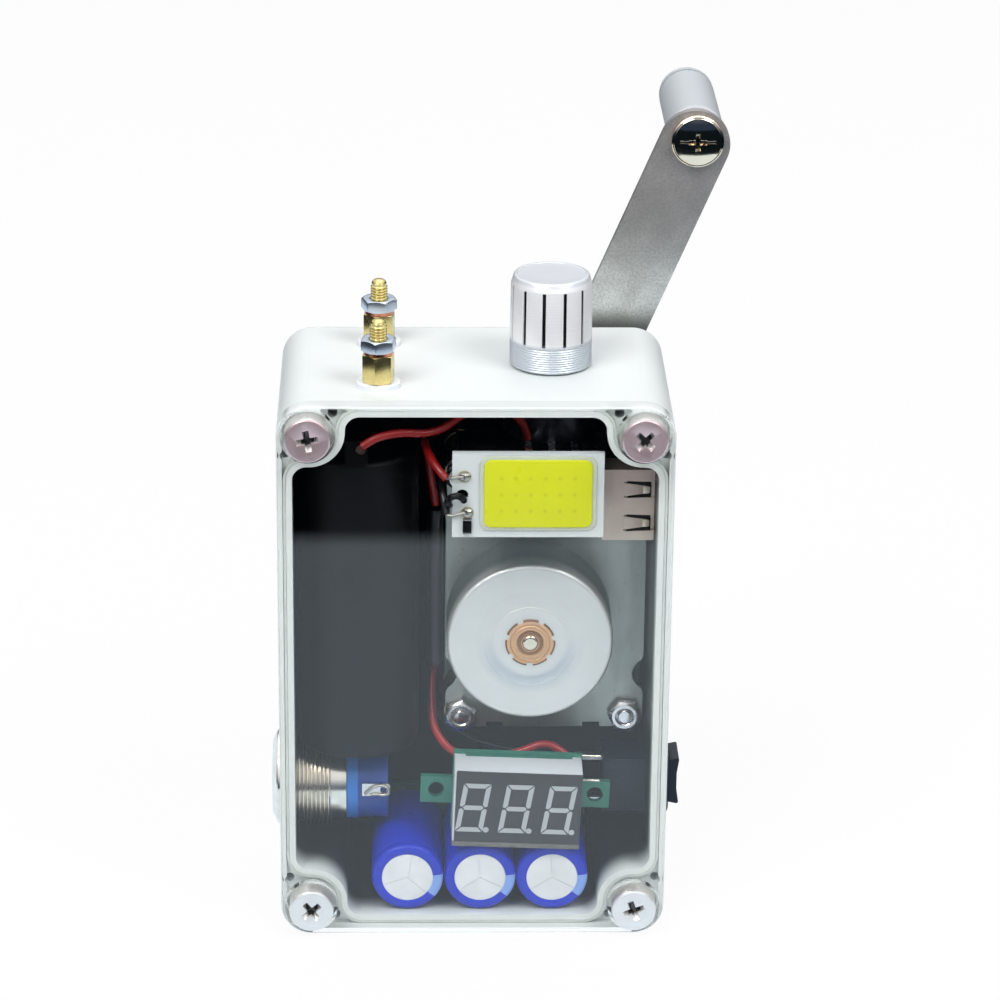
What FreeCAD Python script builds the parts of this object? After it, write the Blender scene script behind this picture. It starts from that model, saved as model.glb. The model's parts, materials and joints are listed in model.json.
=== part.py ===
import FreeCAD, Part
import math
import os

import Sketcher

# Hand crank generator: a clear-fronted case with a crank, a gearbox, a generator, a cell, a light,
# a voltmeter and their switches and terminals, each piece a sub-part of its own. Millimetres.
# +X is to the right and +Z up for someone who faces the clear lid, and +Y runs from the lid to the back.
# The origin is the middle of the case's lowest face.

Vector = FreeCAD.Vector
Rotation = FreeCAD.Rotation
Placement = FreeCAD.Placement

SIZES = {
    # Case: a moulded base, open at the front, and the clear lid that closes it.
    "case_width": 68.0, "case_depth": 43.0, "case_height": 100.0,
    "corner_round": 5.5, "back_round": 2.0, "wall": 2.6, "back_wall": 2.5,
    "lid_thickness": 3.5, "lid_edge_round": 0.6,
    "rim_ring": 0.95, "rim_groove": 0.6, "groove_depth": 1.2, "gasket_inset": 1.05, "gasket_width": 0.45,
    "screw_inset": 5.4, "lobe_radius": 6.3, "lobe_fillet": 2.5, "boss_radius": 3.3,
    "relief_radius": 0.85, "relief_depth": 12.0, "relief_near": 1.45, "relief_far": 9.6,
    "relief_low": 2.25,
    "counterbore_radius": 4.7, "counterbore_depth": 2.5, "lid_hole_radius": 2.1,
    "screw_head_radius": 3.95, "screw_head_length": 4.4, "screw_shank_radius": 1.95,
    "screw_shank_length": 15.5, "screw_proud": 1.9, "pilot_radius": 2.0, "pilot_depth": 15.6,
    "cross_length": 4.6, "cross_width": 0.95, "cross_depth": 1.8,
    "sheet_thickness": 0.8, "sheet_gap": 0.2,
    # Crank: an arm on a shaft through the back, with a grip that turns on a screw.
    "crank_x": 14.1, "crank_z": 73.0, "crank_lean": 22.8, "crank_length": 64.7,
    "handle_reach": 65.7,
    "arm_front": 24.2, "arm_thickness": 1.6, "arm_width": 12.5,
    "shaft_radius": 2.5, "shaft_flats": 4.0, "shaft_thread_radius": 2.0, "shaft_end": 29.5,
    "journal_radius": 1.5, "collar_radius": 4.2, "collar_front": 22.4,
    "bearing_radius": 4.5, "bearing_front": 16.0, "bearing_flange_radius": 6.0, "bearing_flange": 0.8,
    "running_gap": 0.05,
    "crank_nut_flats": 7.0, "crank_nut_length": 3.5, "crank_nut_flange": 4.6,
    "handle_head_radius": 4.73, "handle_head_length": 1.9, "handle_shank_radius": 2.0,
    "handle_cross": 4.9, "handle_cross_width": 1.0, "handle_nut_length": 2.2,
    "grip_radius": 5.05, "grip_front": 28.3, "grip_back": 52.6, "grip_round": 0.5,
    "cap_radius": 5.0, "cap_front": 52.9, "cap_back": 54.8, "cap_round": 0.7, "handle_shank_end": 54.0,
    # Gearbox: two plates on spacers, with three steps from the crank to the generator.
    "plate_left": -4.8, "plate_right": 30.8, "plate_bottom": 30.05, "plate_top": 82.0,
    "plate_thickness": 1.2, "front_plate_y": 2.6, "rear_plate_y": 15.6, "plate_round": 2.0,
    "plate_notch_radius": 3.0, "plate_notch_z": 40.4, "plate_notch_offset": 0.5,
    "slot_depth": 0.9, "slot_one": 2.6, "slot_two": 20.0, "slot_width": 3.1,
    "bolt_left": -2.0, "bolt_right": 27.6, "bolt_low": 32.7, "bolt_high": 79.1,
    "bolt_radius": 1.45, "bolt_head_radius": 2.9, "bolt_head_length": 1.8, "bolt_end": 0.4,
    "bolt_nut_flats": 5.5, "bolt_nut_front": 0.7, "spacer_radius": 3.0,
    "gear_module": 0.5, "pressure_angle": 25.0, "tooth_height": 0.8, "tooth_root": 1.05,
    "tooth_share": 0.44,
    "crank_teeth": 40, "wheel_teeth": 36, "pinion_teeth": 10, "rotor_teeth": 9,
    "idler_one_x": 20.35, "idler_one_z": 62.175, "idler_two_x": 21.206, "idler_two_z": 50.707,
    "rotor_x": 10.0, "rotor_z": 51.7,
    "crank_gear_front": 11.6, "crank_gear_width": 3.0, "wheel_one_front": 8.2, "wheel_two_front": 4.6,
    "wheel_width": 2.0, "pinion_two_front": 6.6, "pinion_two_back": 10.6, "rotor_pinion_front": 4.3,
    "rotor_pinion_width": 2.6, "gear_play": 0.1, "arbor_radius": 1.0, "hub_radius": 1.7,
    # Generator: a drawn can on the front plate, with coils round a turning magnet.
    "can_radius": 14.7, "can_front": -8.9, "can_wall": 0.8, "can_round": 0.8,
    "dish_inner": 6.6, "dish_outer": 8.2, "dish_depth": 0.25,
    "front_bush_radius": 2.15, "front_bush_front": -9.35, "front_bush_flange": 3.4,
    "front_bush_back": -7.6, "rear_bush_radius": 3.5, "rear_bush_front": 1.3, "rear_bush_back": 4.1,
    "washer_radius": 4.4, "washer_thickness": 0.3, "washer_tabs": 7, "washer_notch": 0.45,
    "rotor_radius": 1.45, "rotor_front": -9.5, "rotor_back": 7.2, "rotor_round": 0.5,
    "magnet_radius": 9.5, "magnet_front": -7.4, "magnet_back": 1.0, "coil_inner": 10.0,
    "coil_front": -7.6, "coil_width": 4.0, "coil_gap": 0.7,
    # Light: a board with a yellow emitting face, on a block of black foam.
    "light_x": 9.0, "light_z": 82.85, "light_width": 26.0, "light_height": 15.4, "light_board": 1.2,
    "light_front": -17.2, "light_hole_radius": 1.1, "light_hole_x": -2.3,
    "glow_x": 10.72, "glow_z": 83.32, "glow_width": 18.6, "glow_height": 12.4, "glow_thickness": 0.7,
    "glow_round": 0.9, "foam_left": -3.0, "foam_right": 21.0, "foam_bottom": 76.0, "foam_top": 88.2,
    # Socket and its converter board.
    "socket_left": 22.4, "socket_right": 34.5, "socket_front": -6.5, "socket_back": -0.7,
    "socket_bottom": 70.2, "socket_top": 83.4, "socket_wall": 0.4, "socket_gap": 0.1,
    "tab_left": 26.1, "tab_right": 31.7, "tab_high": 78.25, "tab_low": 72.0, "tab_height": 2.95,
    "tongue_height": 11.2, "tongue_thickness": 1.9, "tongue_length": 9.6, "tongue_back": 0.2,
    "converter_left": 4.0, "converter_right": 31.0, "converter_bottom": 70.2, "converter_board": 0.8,
    "choke_left": 7.0, "choke_width": 6.0, "choke_height": 5.6, "choke_depth": 3.7, "choke_round": 0.8,
    # Voltmeter: a three-digit display block on a board with an ear each side.
    "meter_x": 7.8, "meter_z": 23.0, "meter_lean": 2.1, "meter_front": -17.6, "meter_depth": 7.6,
    "meter_width": 22.6, "meter_height": 14.5, "meter_board": 1.2, "meter_board_width": 23.0,
    "meter_board_rise": 0.35, "ear_height": 5.1, "ear_left": 17.1, "ear_right": 16.7,
    "ear_hole": 1.435, "ear_hole_left": 14.3, "ear_hole_right": 14.1,
    # Stores: three supercapacitors in a row, and a cell in a sleeve.
    "store_radius": 6.4, "store_z": 9.05, "store_front": -16.2, "store_back": 7.0, "store_round": 0.6,
    "store_left": -11.6, "store_middle": 1.35, "store_right": 14.2,
    "store_board_left": -18.0, "store_board_right": 21.0, "store_board": 1.2,
    "store_board_bottom": 3.2, "store_board_top": 16.5,
    "cell_x": -20.45, "cell_y": -3.0, "cell_radius": 10.8, "cell_bottom": 31.2, "cell_top": 87.2,
    "cell_round": 0.8, "cell_cap_radius": 4.0, "cell_cap": 0.3,
    "tab_strip": 0.2, "tab_width": 4.0, "tab_reach": 12.4, "tab_rise": 4.6,
    "charger_left": -8.1, "charger_width": 2.8, "charger_front": 0.0, "charger_depth": 14.6,
    "charger_bottom": 43.5, "charger_top": 73.0, "charger_round": 1.2,
    # Push button in the left wall.
    "button_y": -1.5, "button_z": 21.55, "button_hole": 8.05, "button_relief": 0.5, "button_head": 8.6,
    "button_face": 6.7, "button_head_length": 1.8, "button_flange": 0.9, "button_thread": 8.0,
    "button_thread_length": 8.7, "button_neck": 7.5, "button_neck_length": 2.9,
    "plunger_radius": 5.2, "plunger_length": 7.6, "button_travel": 1.5,
    "spring_radius": 3.5, "spring_wire": 0.25, "spring_turns": 4, "spring_steps": 8,
    "insert_collar": 7.0, "insert_collar_length": 1.9, "insert_radius": 6.8, "insert_length": 5.4,
    # Rocker switch in the right wall.
    "rocker_z": 21.4, "rocker_width": 8.2, "rocker_height": 10.4, "rocker_depth": 10.5,
    "bezel_width": 9.8, "bezel_height": 11.6, "bezel_depth": 1.6, "bezel_round": 1.1,
    "paddle_width": 7.0, "paddle_height": 9.2, "paddle_well": 8.4, "bezel_opening": 9.9,
    "paddle_gap": 0.1,
    "well_depth": 7.6, "paddle_proud": 3.5, "paddle_dip": 0.45, "paddle_depth": 3.6,
    "paddle_taper": 1.6, "pivot_radius": 0.7, "pivot_length": 7.8,
    # Tags for solder on the switches and on the knob's regulator.
    "tag_thickness": 0.5, "tag_width": 2.4, "tag_length": 5.0, "tag_spread": 4.0,
    "button_tag_rise": 1.4, "button_tag_start": 0.8,
    # Regulator in the roof and its knob.
    "knob_x": 13.24, "knob_y": 0.97, "regulator_radius": 8.0, "regulator_bottom": 88.4,
    "regulator_step": 0.6, "regulator_step_radius": 5.0,
    "bushing_radius": 3.5, "bushing_top": 103.0, "bushing_hole": 3.6,
    "regulator_nut_flats": 10.0, "regulator_nut_length": 2.0, "spindle_radius": 3.0,
    "spindle_bottom": 92.0, "spindle_top": 113.0,
    "knob_bottom": 100.3, "knob_shoulder": 114.9, "knob_top": 116.5, "knob_radius": 7.15,
    "knob_shoulder_radius": 7.0, "knob_top_radius": 6.5, "knob_hollow": 6.0, "knob_hollow_top": 104.0,
    "knob_slots": 12, "knob_slot_width": 0.7, "knob_slot_bottom": 105.1, "knob_slot_depth": 1.1,
    "knob_slot_turn": 17.8,
    # Two terminals in the roof.
    "post_x": -16.65, "post_front_y": -10.4, "post_rear_y": 11.0, "stud_radius": 1.3,
    "stud_end_radius": 1.5, "stud_runout": 0.2, "stud_top": 112.0, "stud_head_radius": 2.6,
    "stud_head": 1.2, "stud_hole": 1.6, "lug_thickness": 0.3,
    "lug_radius": 3.2, "lug_reach": 7.0, "lug_width": 2.4,
    "post_washer_radius": 3.75, "post_washer": 0.8, "post_body_flats": 5.0, "post_body_length": 5.1,
    "post_ring_radius": 2.6, "post_ring": 0.5, "post_nut_flats": 5.5, "post_nut": 2.2,
    "post_bore": 1.52, "post_nut_front_turn": 20.5, "post_nut_rear_turn": 20.5, "post_body_turn": 19.0,
    # Hook-up wire.
    "wire_radius": 0.7, "fine_wire_radius": 0.55,
}

RED_ROUTES = {
    "cell_to_knob": ("wire_radius", [
        (-19.4, -16.15, 91.4), (-17.0, -16.1, 93.0), (-12.8, -15.4, 93.7), (-8.8, -14.5, 93.1),
        (-5.4, -13.2, 93.6), (-2.0, -10.6, 95.4), (2.4, -8.2, 96.2), (6.4, -7.6, 94.6), (8.6, -7.8, 92.2),
        (9.24, -8.0, 89.7),
    ]),
    "charger_to_light": ("wire_radius", [
        (-6.7, 1.6, 73.7), (-7.3, 0.6, 78.0), (-7.9, -0.8, 82.6), (-8.4, -3.4, 86.6), (-8.7, -7.4, 89.2),
        (-8.4, -11.4, 89.2), (-7.3, -14.6, 88.0), (-5.9, -16.3, 86.6), (-5.0, -16.9, 85.8),
    ]),
    "charger_to_meter": ("wire_radius", [
        (-6.7, 5.5, 42.8), (-7.4, 1.2, 37.6), (-7.0, -3.4, 32.4), (-4.0, -5.4, 28.8), (1.4, -5.9, 27.2),
        (7.4, -5.6, 28.4), (13.2, -5.2, 30.6), (17.0, -6.1, 28.6), (18.2, -8.2, 25.6),
    ]),
}

BLACK_ROUTES = {
    "charger_to_light": ("wire_radius", [
        (-6.7, 8.0, 73.7), (-6.4, 4.4, 77.6), (-5.6, -0.8, 80.2), (-5.4, -6.6, 82.2), (-5.6, -12.0, 83.6),
        (-5.5, -15.7, 82.2), (-5.0, -17.1, 79.4),
    ]),
    "charger_to_rocker": ("fine_wire_radius", [
        (-6.7, 10.5, 42.8), (-7.5, 8.4, 36.4), (-6.1, 6.2, 30.4), (-0.6, 5.1, 26.4), (6.4, 4.5, 24.6),
        (13.0, 3.2, 24.2), (18.0, 1.2, 24.6),
    ]),
}


class Size:
    """A number that comes from the sheet, with the expression that keeps it up to date."""

    def __init__(self, value, text):
        self.value = value
        self.text = text

    def __add__(self, other):
        return Size(self.value + number(other), f"({self.text} + {expression(other)})")

    def __sub__(self, other):
        return Size(self.value - number(other), f"({self.text} - {expression(other)})")

    def __rsub__(self, other):
        return Size(number(other) - self.value, f"({expression(other)} - {self.text})")

    def __mul__(self, other):
        return Size(self.value * number(other), f"({self.text} * {expression(other)})")

    def __truediv__(self, other):
        return Size(self.value / number(other), f"({self.text} / {expression(other)})")

    def __neg__(self):
        return Size(-self.value, f"(0 - {self.text})")

    __radd__ = __add__
    __rmul__ = __mul__


def number(size):
    """The value of a size or of a plain number."""
    return size.value if isinstance(size, Size) else float(size)


def expression(size):
    """The text of a size or of a plain number."""
    return size.text if isinstance(size, Size) else f"({float(size)})"


class Cells:
    """The sheet's cells by alias, each of them a Size."""

    def __init__(self, sheet, sizes):
        for row, (alias, value) in enumerate(sizes.items(), start=1):
            sheet.set(f"A{row}", alias)
            sheet.set(f"B{row}", str(value))
            sheet.setAlias(f"B{row}", alias)
            setattr(self, alias, Size(float(value), f"{sheet.Name}.{alias}"))


doc = FreeCAD.newDocument("hand_crank_generator")
S = Cells(doc.addObject("Spreadsheet::Sheet", "Sizes"), SIZES)
doc.recompute()

# Levels that many pieces share.
SIDE = S.case_width / 2
FRONT = -S.case_depth / 2
BACK = S.case_depth / 2
RIM = FRONT + S.lid_thickness
TOP = S.case_height
ROOF = TOP - S.wall
BACK_FACE = BACK - S.back_wall
SCREW_X = SIDE - S.screw_inset
SCREW_HIGH = TOP - S.screw_inset
FRONT_PLATE_BACK = S.front_plate_y + S.plate_thickness
REAR_PLATE_BACK = S.rear_plate_y + S.plate_thickness
SHEET_FRONT = BACK_FACE - S.sheet_thickness
LIGHT_BACK = S.light_front + S.light_board
METER_BACK = S.meter_front + S.meter_depth
BUTTON_OUT = -SIDE - S.button_head_length
BUTTON_NECK = -SIDE + S.button_thread_length
BUTTON_BACK = BUTTON_NECK + S.button_neck_length
STACK_ONE = TOP + S.post_washer
STACK_TWO = STACK_ONE + S.post_body_length
STACK_THREE = STACK_TWO + S.post_ring
STUD_STEP = STACK_THREE + S.post_nut + S.stud_runout

X_AXIS = Vector(1, 0, 0)
Y_AXIS = Vector(0, 1, 0)
Z_AXIS = Vector(0, 0, 1)
ALONG = {"X": Rotation(Y_AXIS, 90), "Y": Rotation(X_AXIS, -90), "Z": Rotation()}
TINY = 0.001
# The share of the shorter run that a wire's bend takes up on each side of its corner.
BEND_SHARE = 0.45
# The angle that each lid screw was driven home at, by side and level.
SCREW_TURNS = {(-1, 0): 40.0, (-1, 1): 0.0, (1, 0): 20.0, (1, 1): 45.0}

nodes = []


# Helpers: each makes one object whose sizes are bound to the sheet.

def bind(thing, **sizes):
    """Binds properties of an object to sizes."""
    for name, size in sizes.items():
        thing.setExpression(name, expression(size))
    return thing


def put(thing, place, rotation=None):
    """Puts an object at a bound place, turned if a rotation is given."""
    if rotation is not None:
        thing.Placement = Placement(Vector(), rotation)
    for letter, size in zip("xyz", place):
        thing.setExpression(f"Placement.Base.{letter}", expression(size))
    return thing


def lean(thing, place, angle):
    """Puts an object at a bound place and leans it to the right by a bound angle."""
    put(thing, place, Rotation(Y_AXIS, number(angle)))
    thing.setExpression("Placement.Rotation.Angle", expression(angle))
    return thing


def block(name, low, high):
    """A block between two corners."""
    solid = doc.addObject("Part::Box", name)
    bind(solid, Length=high[0] - low[0], Width=high[1] - low[1], Height=high[2] - low[2])
    return put(solid, low)


def cylinder(name, axis, place, radius, length):
    """A cylinder that runs from a place along an axis."""
    solid = doc.addObject("Part::Cylinder", name)
    bind(solid, Radius=radius, Height=length)
    return put(solid, place, ALONG[axis])


def prism(name, axis, place, flats, length, turn=0.0):
    """A hexagon bar of a given size across flats."""
    solid = doc.addObject("Part::Prism", name)
    solid.Polygon = 6
    bind(solid, Circumradius=flats / math.sqrt(3), Height=length)
    return put(solid, place, ALONG[axis] * Rotation(Z_AXIS, number(turn)))


def join(name, *parts):
    """One solid from parts that meet."""
    whole = doc.addObject("Part::MultiFuse", name)
    whole.Shapes = list(parts)
    return whole


def group(name, *parts):
    """Parts that stay separate solids in one sub-part."""
    whole = doc.addObject("Part::Compound", name)
    whole.Links = list(parts)
    return whole


def cut(name, base, *tools):
    """A part less its tools."""
    result = doc.addObject("Part::Cut", name)
    result.Base = base
    result.Tool = tools[0] if len(tools) == 1 else join(name + "_tools", *tools)
    return result


def common(name, base, tool):
    """What two parts share."""
    result = doc.addObject("Part::Common", name)
    result.Base = base
    result.Tool = tool
    return result


def fillet(name, base, radius, choose):
    """Rounds the edges that a test picks."""
    doc.recompute()
    result = doc.addObject("Part::Fillet", name)
    result.Base = base
    picked = [place for place, edge in enumerate(base.Shape.Edges, start=1) if choose(edge)]
    result.Edges = [(place, number(radius), number(radius)) for place in picked]
    return result


def tube(name, axis, place, outer, inner, length):
    """A round bar with a bore all through."""
    bar = cylinder(name + "_bar", axis, place, outer, length)
    bore = cylinder(name + "_bore", axis, place, inner, length)
    return cut(name, bar, bore)


def nut(name, axis, place, flats, bore, length, turn=0.0):
    """A hexagon nut."""
    return cut(name, prism(name + "_bar", axis, place, flats, length, turn),
               cylinder(name + "_bore", axis, place, bore, length))


def cross_recess(name, radius, width, depth):
    """The tool of a cross recess, about the Y axis, from y = 0 inwards."""
    wide = block(name + "_wide", (-radius, 0, -width / 2), (radius, depth, width / 2))
    tall = block(name + "_tall", (-width / 2, 0, -radius), (width / 2, depth, radius))
    return join(name, wide, tall)


def runs_along(axis):
    """A test for straight edges that run along an axis."""
    def choose(edge):
        if not isinstance(edge.Curve, Part.Line):
            return False
        return abs(abs(edge.Curve.Direction.dot(axis)) - 1) < TINY
    return choose


def lies_at(axis, size):
    """A test for edges that lie wholly in a plane across an axis."""
    level = number(size)

    def choose(edge):
        return all(abs(corner.Point.dot(axis) - level) < TINY for corner in edge.Vertexes)
    return choose


def both(first, second):
    """A test that two tests pass."""
    return lambda edge: first(edge) and second(edge)


def arc_about(centre, start, end):
    """The short arc from one point to another about a centre."""
    middle = ((start - centre) + (end - centre)).normalize() * (start - centre).Length
    return Part.Arc(start, centre + middle, end).toShape()


def corners():
    """The four lid screws' axes, as side (-1 or 1), x, level (0 or 1) and z."""
    for side in (-1, 1):
        for level, height in ((0, S.screw_inset), (1, SCREW_HIGH)):
            yield side, SCREW_X * side, level, height


def sketch_on(body, role, name):
    """A sketch on one of a body's own planes."""
    sketch = body.newObject("Sketcher::SketchObject", name)
    plane = next(item for item in body.Origin.OriginFeatures if item.Role == role)
    sketch.AttachmentSupport = [(plane, "")]
    sketch.MapMode = "FlatFace"
    return sketch


def hold(sketch, curve, point, place):
    """Holds a sketch point at bound distances from the sketch's origin."""
    for kind, axis, size in (("DistanceX", -2, place[0]), ("DistanceY", -1, place[1])):
        if number(size) == 0:
            sketch.addConstraint(Sketcher.Constraint("PointOnObject", curve, point, axis))
            continue
        held = sketch.addConstraint(Sketcher.Constraint(kind, -1, 1, curve, point, number(size)))
        sketch.setExpression(f"Constraints[{held}]", expression(size))


def draw_polygon(sketch, places):
    """Draws a closed outline with straight sides."""
    first = sketch.GeometryCount
    points = [Vector(number(across), number(up), 0) for across, up in places]
    for start, end in zip(points, points[1:] + points[:1]):
        sketch.addGeometry(Part.LineSegment(start, end), False)
    for place in range(len(places)):
        following = first + (place + 1) % len(places)
        sketch.addConstraint(Sketcher.Constraint("Coincident", first + place, 2, following, 1))
    for place, spot in enumerate(places):
        hold(sketch, first + place, 1, spot)


def draw_circle(sketch, centre, radius):
    """Draws a circle."""
    middle = Vector(number(centre[0]), number(centre[1]), 0)
    curve = sketch.addGeometry(Part.Circle(middle, Z_AXIS, number(radius)), False)
    hold(sketch, curve, 3, centre)
    size = sketch.addConstraint(Sketcher.Constraint("Radius", curve, number(radius)))
    sketch.setExpression(f"Constraints[{size}]", expression(radius))


def new_body(name):
    """An empty PartDesign body."""
    return doc.addObject("PartDesign::Body", name)


def add_pad(body, name, sketch, length):
    """Pads a sketch, towards -Y from the XZ plane."""
    feature = body.newObject("PartDesign::Pad", name)
    feature.Profile = sketch
    return bind(feature, Length=length)


def add_pocket(body, name, sketch):
    """Cuts a sketch through the whole body."""
    feature = body.newObject("PartDesign::Pocket", name)
    feature.Profile = sketch
    feature.Type = "ThroughAll"
    feature.Midplane = True
    return feature


def turned_body(name, profile):
    """A body turned about Z from a profile of (radius, height) corners."""
    body = new_body(name)
    sketch = sketch_on(body, "XZ_Plane", name + "_profile")
    draw_polygon(sketch, profile)
    feature = body.newObject("PartDesign::Revolution", name + "_turned")
    feature.Profile = sketch
    feature.ReferenceAxis = (sketch, ["V_Axis"])
    feature.Angle = 360
    return body


def round_body(body, name, radius, choose):
    """Rounds the edges of a body that a test picks."""
    doc.recompute()
    base = body.Tip
    feature = body.newObject("PartDesign::Fillet", name)
    edges = [f"Edge{place}" for place, edge in enumerate(base.Shape.Edges, start=1) if choose(edge)]
    feature.Base = (base, edges)
    return bind(feature, Radius=radius)


def plate_body(name, low, high, thickness, holes):
    """A flat plate in the XZ plane, from y = 0 towards -Y, with round holes given as (x, z, radius)."""
    body = new_body(name)
    outline = sketch_on(body, "XZ_Plane", name + "_outline")
    draw_polygon(outline, [(low[0], low[1]), (high[0], low[1]), (high[0], high[1]), (low[0], high[1])])
    add_pad(body, name + "_pad", outline, thickness)
    drilling = sketch_on(body, "XZ_Plane", name + "_holes")
    for across, up, radius in holes:
        draw_circle(drilling, (across, up), radius)
    add_pocket(body, name + "_drilled", drilling)
    return body


# Case.

def case_block(name, inset, front, back):
    """A block of the case's outline, inset all round, with rounded corners."""
    sharp = block(name + "_sharp", (inset - SIDE, front, inset), (SIDE - inset, back, TOP - inset))
    return fillet(name, sharp, S.corner_round - inset, runs_along(Y_AXIS))


def lobed_block(name, inset, front, back):
    """A block of the space inside the four screw columns, at a given inset from the outline."""
    inset = number(inset)
    to_wall = S.wall.value - inset
    lobe = S.lobe_radius.value - to_wall
    round_inset = S.wall.value + S.lobe_fillet.value
    reach = math.sqrt((lobe + round_inset - inset) ** 2 - (S.screw_inset.value - round_inset) ** 2)
    edges = []
    last = None
    for side, level in ((-1, 0), (1, 0), (1, 1), (-1, 1)):
        inward = 1 - 2 * level
        column = Vector(SCREW_X.value * side, 0, SCREW_HIGH.value if level else S.screw_inset.value)
        by_side = Vector((SIDE.value - round_inset) * side, 0, column.z + reach * inward)
        by_end = Vector(column.x - reach * side, 0, column.z + (round_inset - S.screw_inset.value) * inward)
        on_side = by_side + Vector((round_inset - inset) * side, 0, 0)
        on_end = by_end - Vector(0, 0, (round_inset - inset) * inward)
        high = column + (by_side - column).normalize() * lobe
        low = column + (by_end - column).normalize() * lobe
        bends = [(by_side, on_side, high), (column, high, low), (by_end, low, on_end)]
        if side * inward > 0:
            bends = [(centre, end, start) for centre, start, end in reversed(bends)]
        if last is not None:
            edges.append(Part.LineSegment(last, bends[0][1]).toShape())
        edges += [arc_about(*bend) for bend in bends]
        last = bends[-1][2]
    edges.append(Part.LineSegment(last, edges[0].Vertexes[0].Point).toShape())
    space = doc.addObject("Part::Feature", name)
    face = Part.Face(Part.Wire(edges))
    space.Shape = face.extrude(Vector(0, number(back - front), 0))
    return put(space, (0, front, 0))


def base_shell():
    """The moulded base: walls, screw columns, a grooved rim and the openings for what passes through."""
    outer = fillet("base_outer", case_block("base_block", 0 * S.wall, RIM, BACK), S.back_round,
                   lies_at(Y_AXIS, BACK))
    cavity = lobed_block("base_cavity", S.wall, RIM, BACK_FACE)
    groove_back = RIM + S.groove_depth
    ring = case_block("groove_outer", S.rim_ring, RIM, groove_back)
    lip = lobed_block("groove_inner", S.rim_ring + S.rim_groove, RIM, groove_back)
    bosses = [
        cylinder(f"boss_{side + 1}{level}", "Y", (across, RIM, up), S.boss_radius, S.groove_depth)
        for side, across, level, up in corners()
    ]
    tools = [cavity, cut("rim_groove", ring, lip, *bosses)]
    for side, across, level, up in corners():
        inward = 1 - 2 * level
        tag = f"{side + 1}{level}"
        end = TOP * level
        tools.append(cylinder("pilot_" + tag, "Y", (across, RIM, up), S.pilot_radius, S.pilot_depth))
        tools.append(cylinder("relief_side_" + tag, "Y",
                              ((SIDE - S.relief_near) * side, RIM, end + S.relief_far * inward),
                              S.relief_radius, S.relief_depth))
        tools.append(cylinder("relief_end_" + tag, "Y",
                              ((SIDE - S.relief_far) * side, RIM, end + S.relief_low * inward),
                              S.relief_radius, S.relief_depth))
    tools.append(cylinder("knob_hole", "Z", (S.knob_x, S.knob_y, ROOF), S.bushing_hole, S.wall))
    for tag, depth in (("front", S.post_front_y), ("rear", S.post_rear_y)):
        tools.append(cylinder("stud_hole_" + tag, "Z", (S.post_x, depth, ROOF), S.stud_hole, S.wall))
    tools.append(cylinder("button_hole", "X", (-SIDE, S.button_y, S.button_z), S.button_hole,
                          S.wall + S.button_relief))
    gap = S.socket_gap
    tools.append(block("socket_slot",
                       (SIDE - S.wall, S.socket_front - gap, S.socket_bottom - gap),
                       (SIDE, S.socket_back + gap, S.socket_top + gap)))
    tools.append(block("rocker_slot",
                       (SIDE - S.wall, -S.rocker_width / 2, S.rocker_z - S.rocker_height / 2),
                       (SIDE, S.rocker_width / 2, S.rocker_z + S.rocker_height / 2)))
    tools.append(cylinder("bearing_hole", "Y", (S.crank_x, BACK_FACE, S.crank_z), S.bearing_radius,
                          S.back_wall))
    for tag, across, up in bolt_places():
        tools.append(cylinder("case_bolt_hole_" + tag, "Y", (across, BACK_FACE, up),
                              S.bolt_radius + S.running_gap, S.back_wall))
    return cut("base_shell", outer, *tools)


def clear_lid():
    """The clear lid: a flat plate with a softened front edge and a counterbore for each screw."""
    plate = fillet("lid_plate", case_block("lid_block", 0 * S.wall, FRONT, RIM), S.lid_edge_round,
                   lies_at(Y_AXIS, FRONT))
    tools = []
    for side, across, level, up in corners():
        tag = f"{side + 1}{level}"
        tools.append(cylinder("counterbore_" + tag, "Y", (across, FRONT, up), S.counterbore_radius,
                              S.counterbore_depth))
        tools.append(cylinder("lid_hole_" + tag, "Y", (across, FRONT, up), S.lid_hole_radius,
                              S.lid_thickness))
    return cut("clear_lid", plate, *tools)


def lid_gasket():
    """The cord seal that lies in the rim's groove, against its inner lip."""
    back = RIM + S.groove_depth
    outer = lobed_block("gasket_outer", S.gasket_inset, RIM, back)
    inner = lobed_block("gasket_inner", S.gasket_inset + S.gasket_width, RIM, back)
    return cut("lid_gasket", outer, inner)


def lid_screws():
    """The four lid screws, each driven home at an angle of its own."""
    screws = []
    for side, across, level, up in corners():
        tag = f"{side + 1}{level}"
        head = cylinder("screw_head_" + tag, "Y", (0, 0, 0), S.screw_head_radius, S.screw_head_length)
        shank = cylinder("screw_shank_" + tag, "Y", (0, 0, 0), S.screw_shank_radius,
                         S.screw_head_length + S.screw_shank_length)
        recess = cross_recess("screw_cross_" + tag, S.cross_length / 2, S.cross_width, S.cross_depth)
        screw = cut("lid_screw_" + tag, join("screw_blank_" + tag, head, shank), recess)
        screws.append(put(screw, (across, FRONT - S.screw_proud, up),
                          Rotation(Y_AXIS, SCREW_TURNS[(side, level)])))
    return group("lid_screws", *screws)


def bolt_places():
    """The gearbox bolts' axes."""
    yield "left_low", S.bolt_left, S.bolt_low
    yield "left_high", S.bolt_left, S.bolt_high
    yield "right_low", S.bolt_right, S.bolt_low
    yield "right_high", S.bolt_right, S.bolt_high


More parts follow.
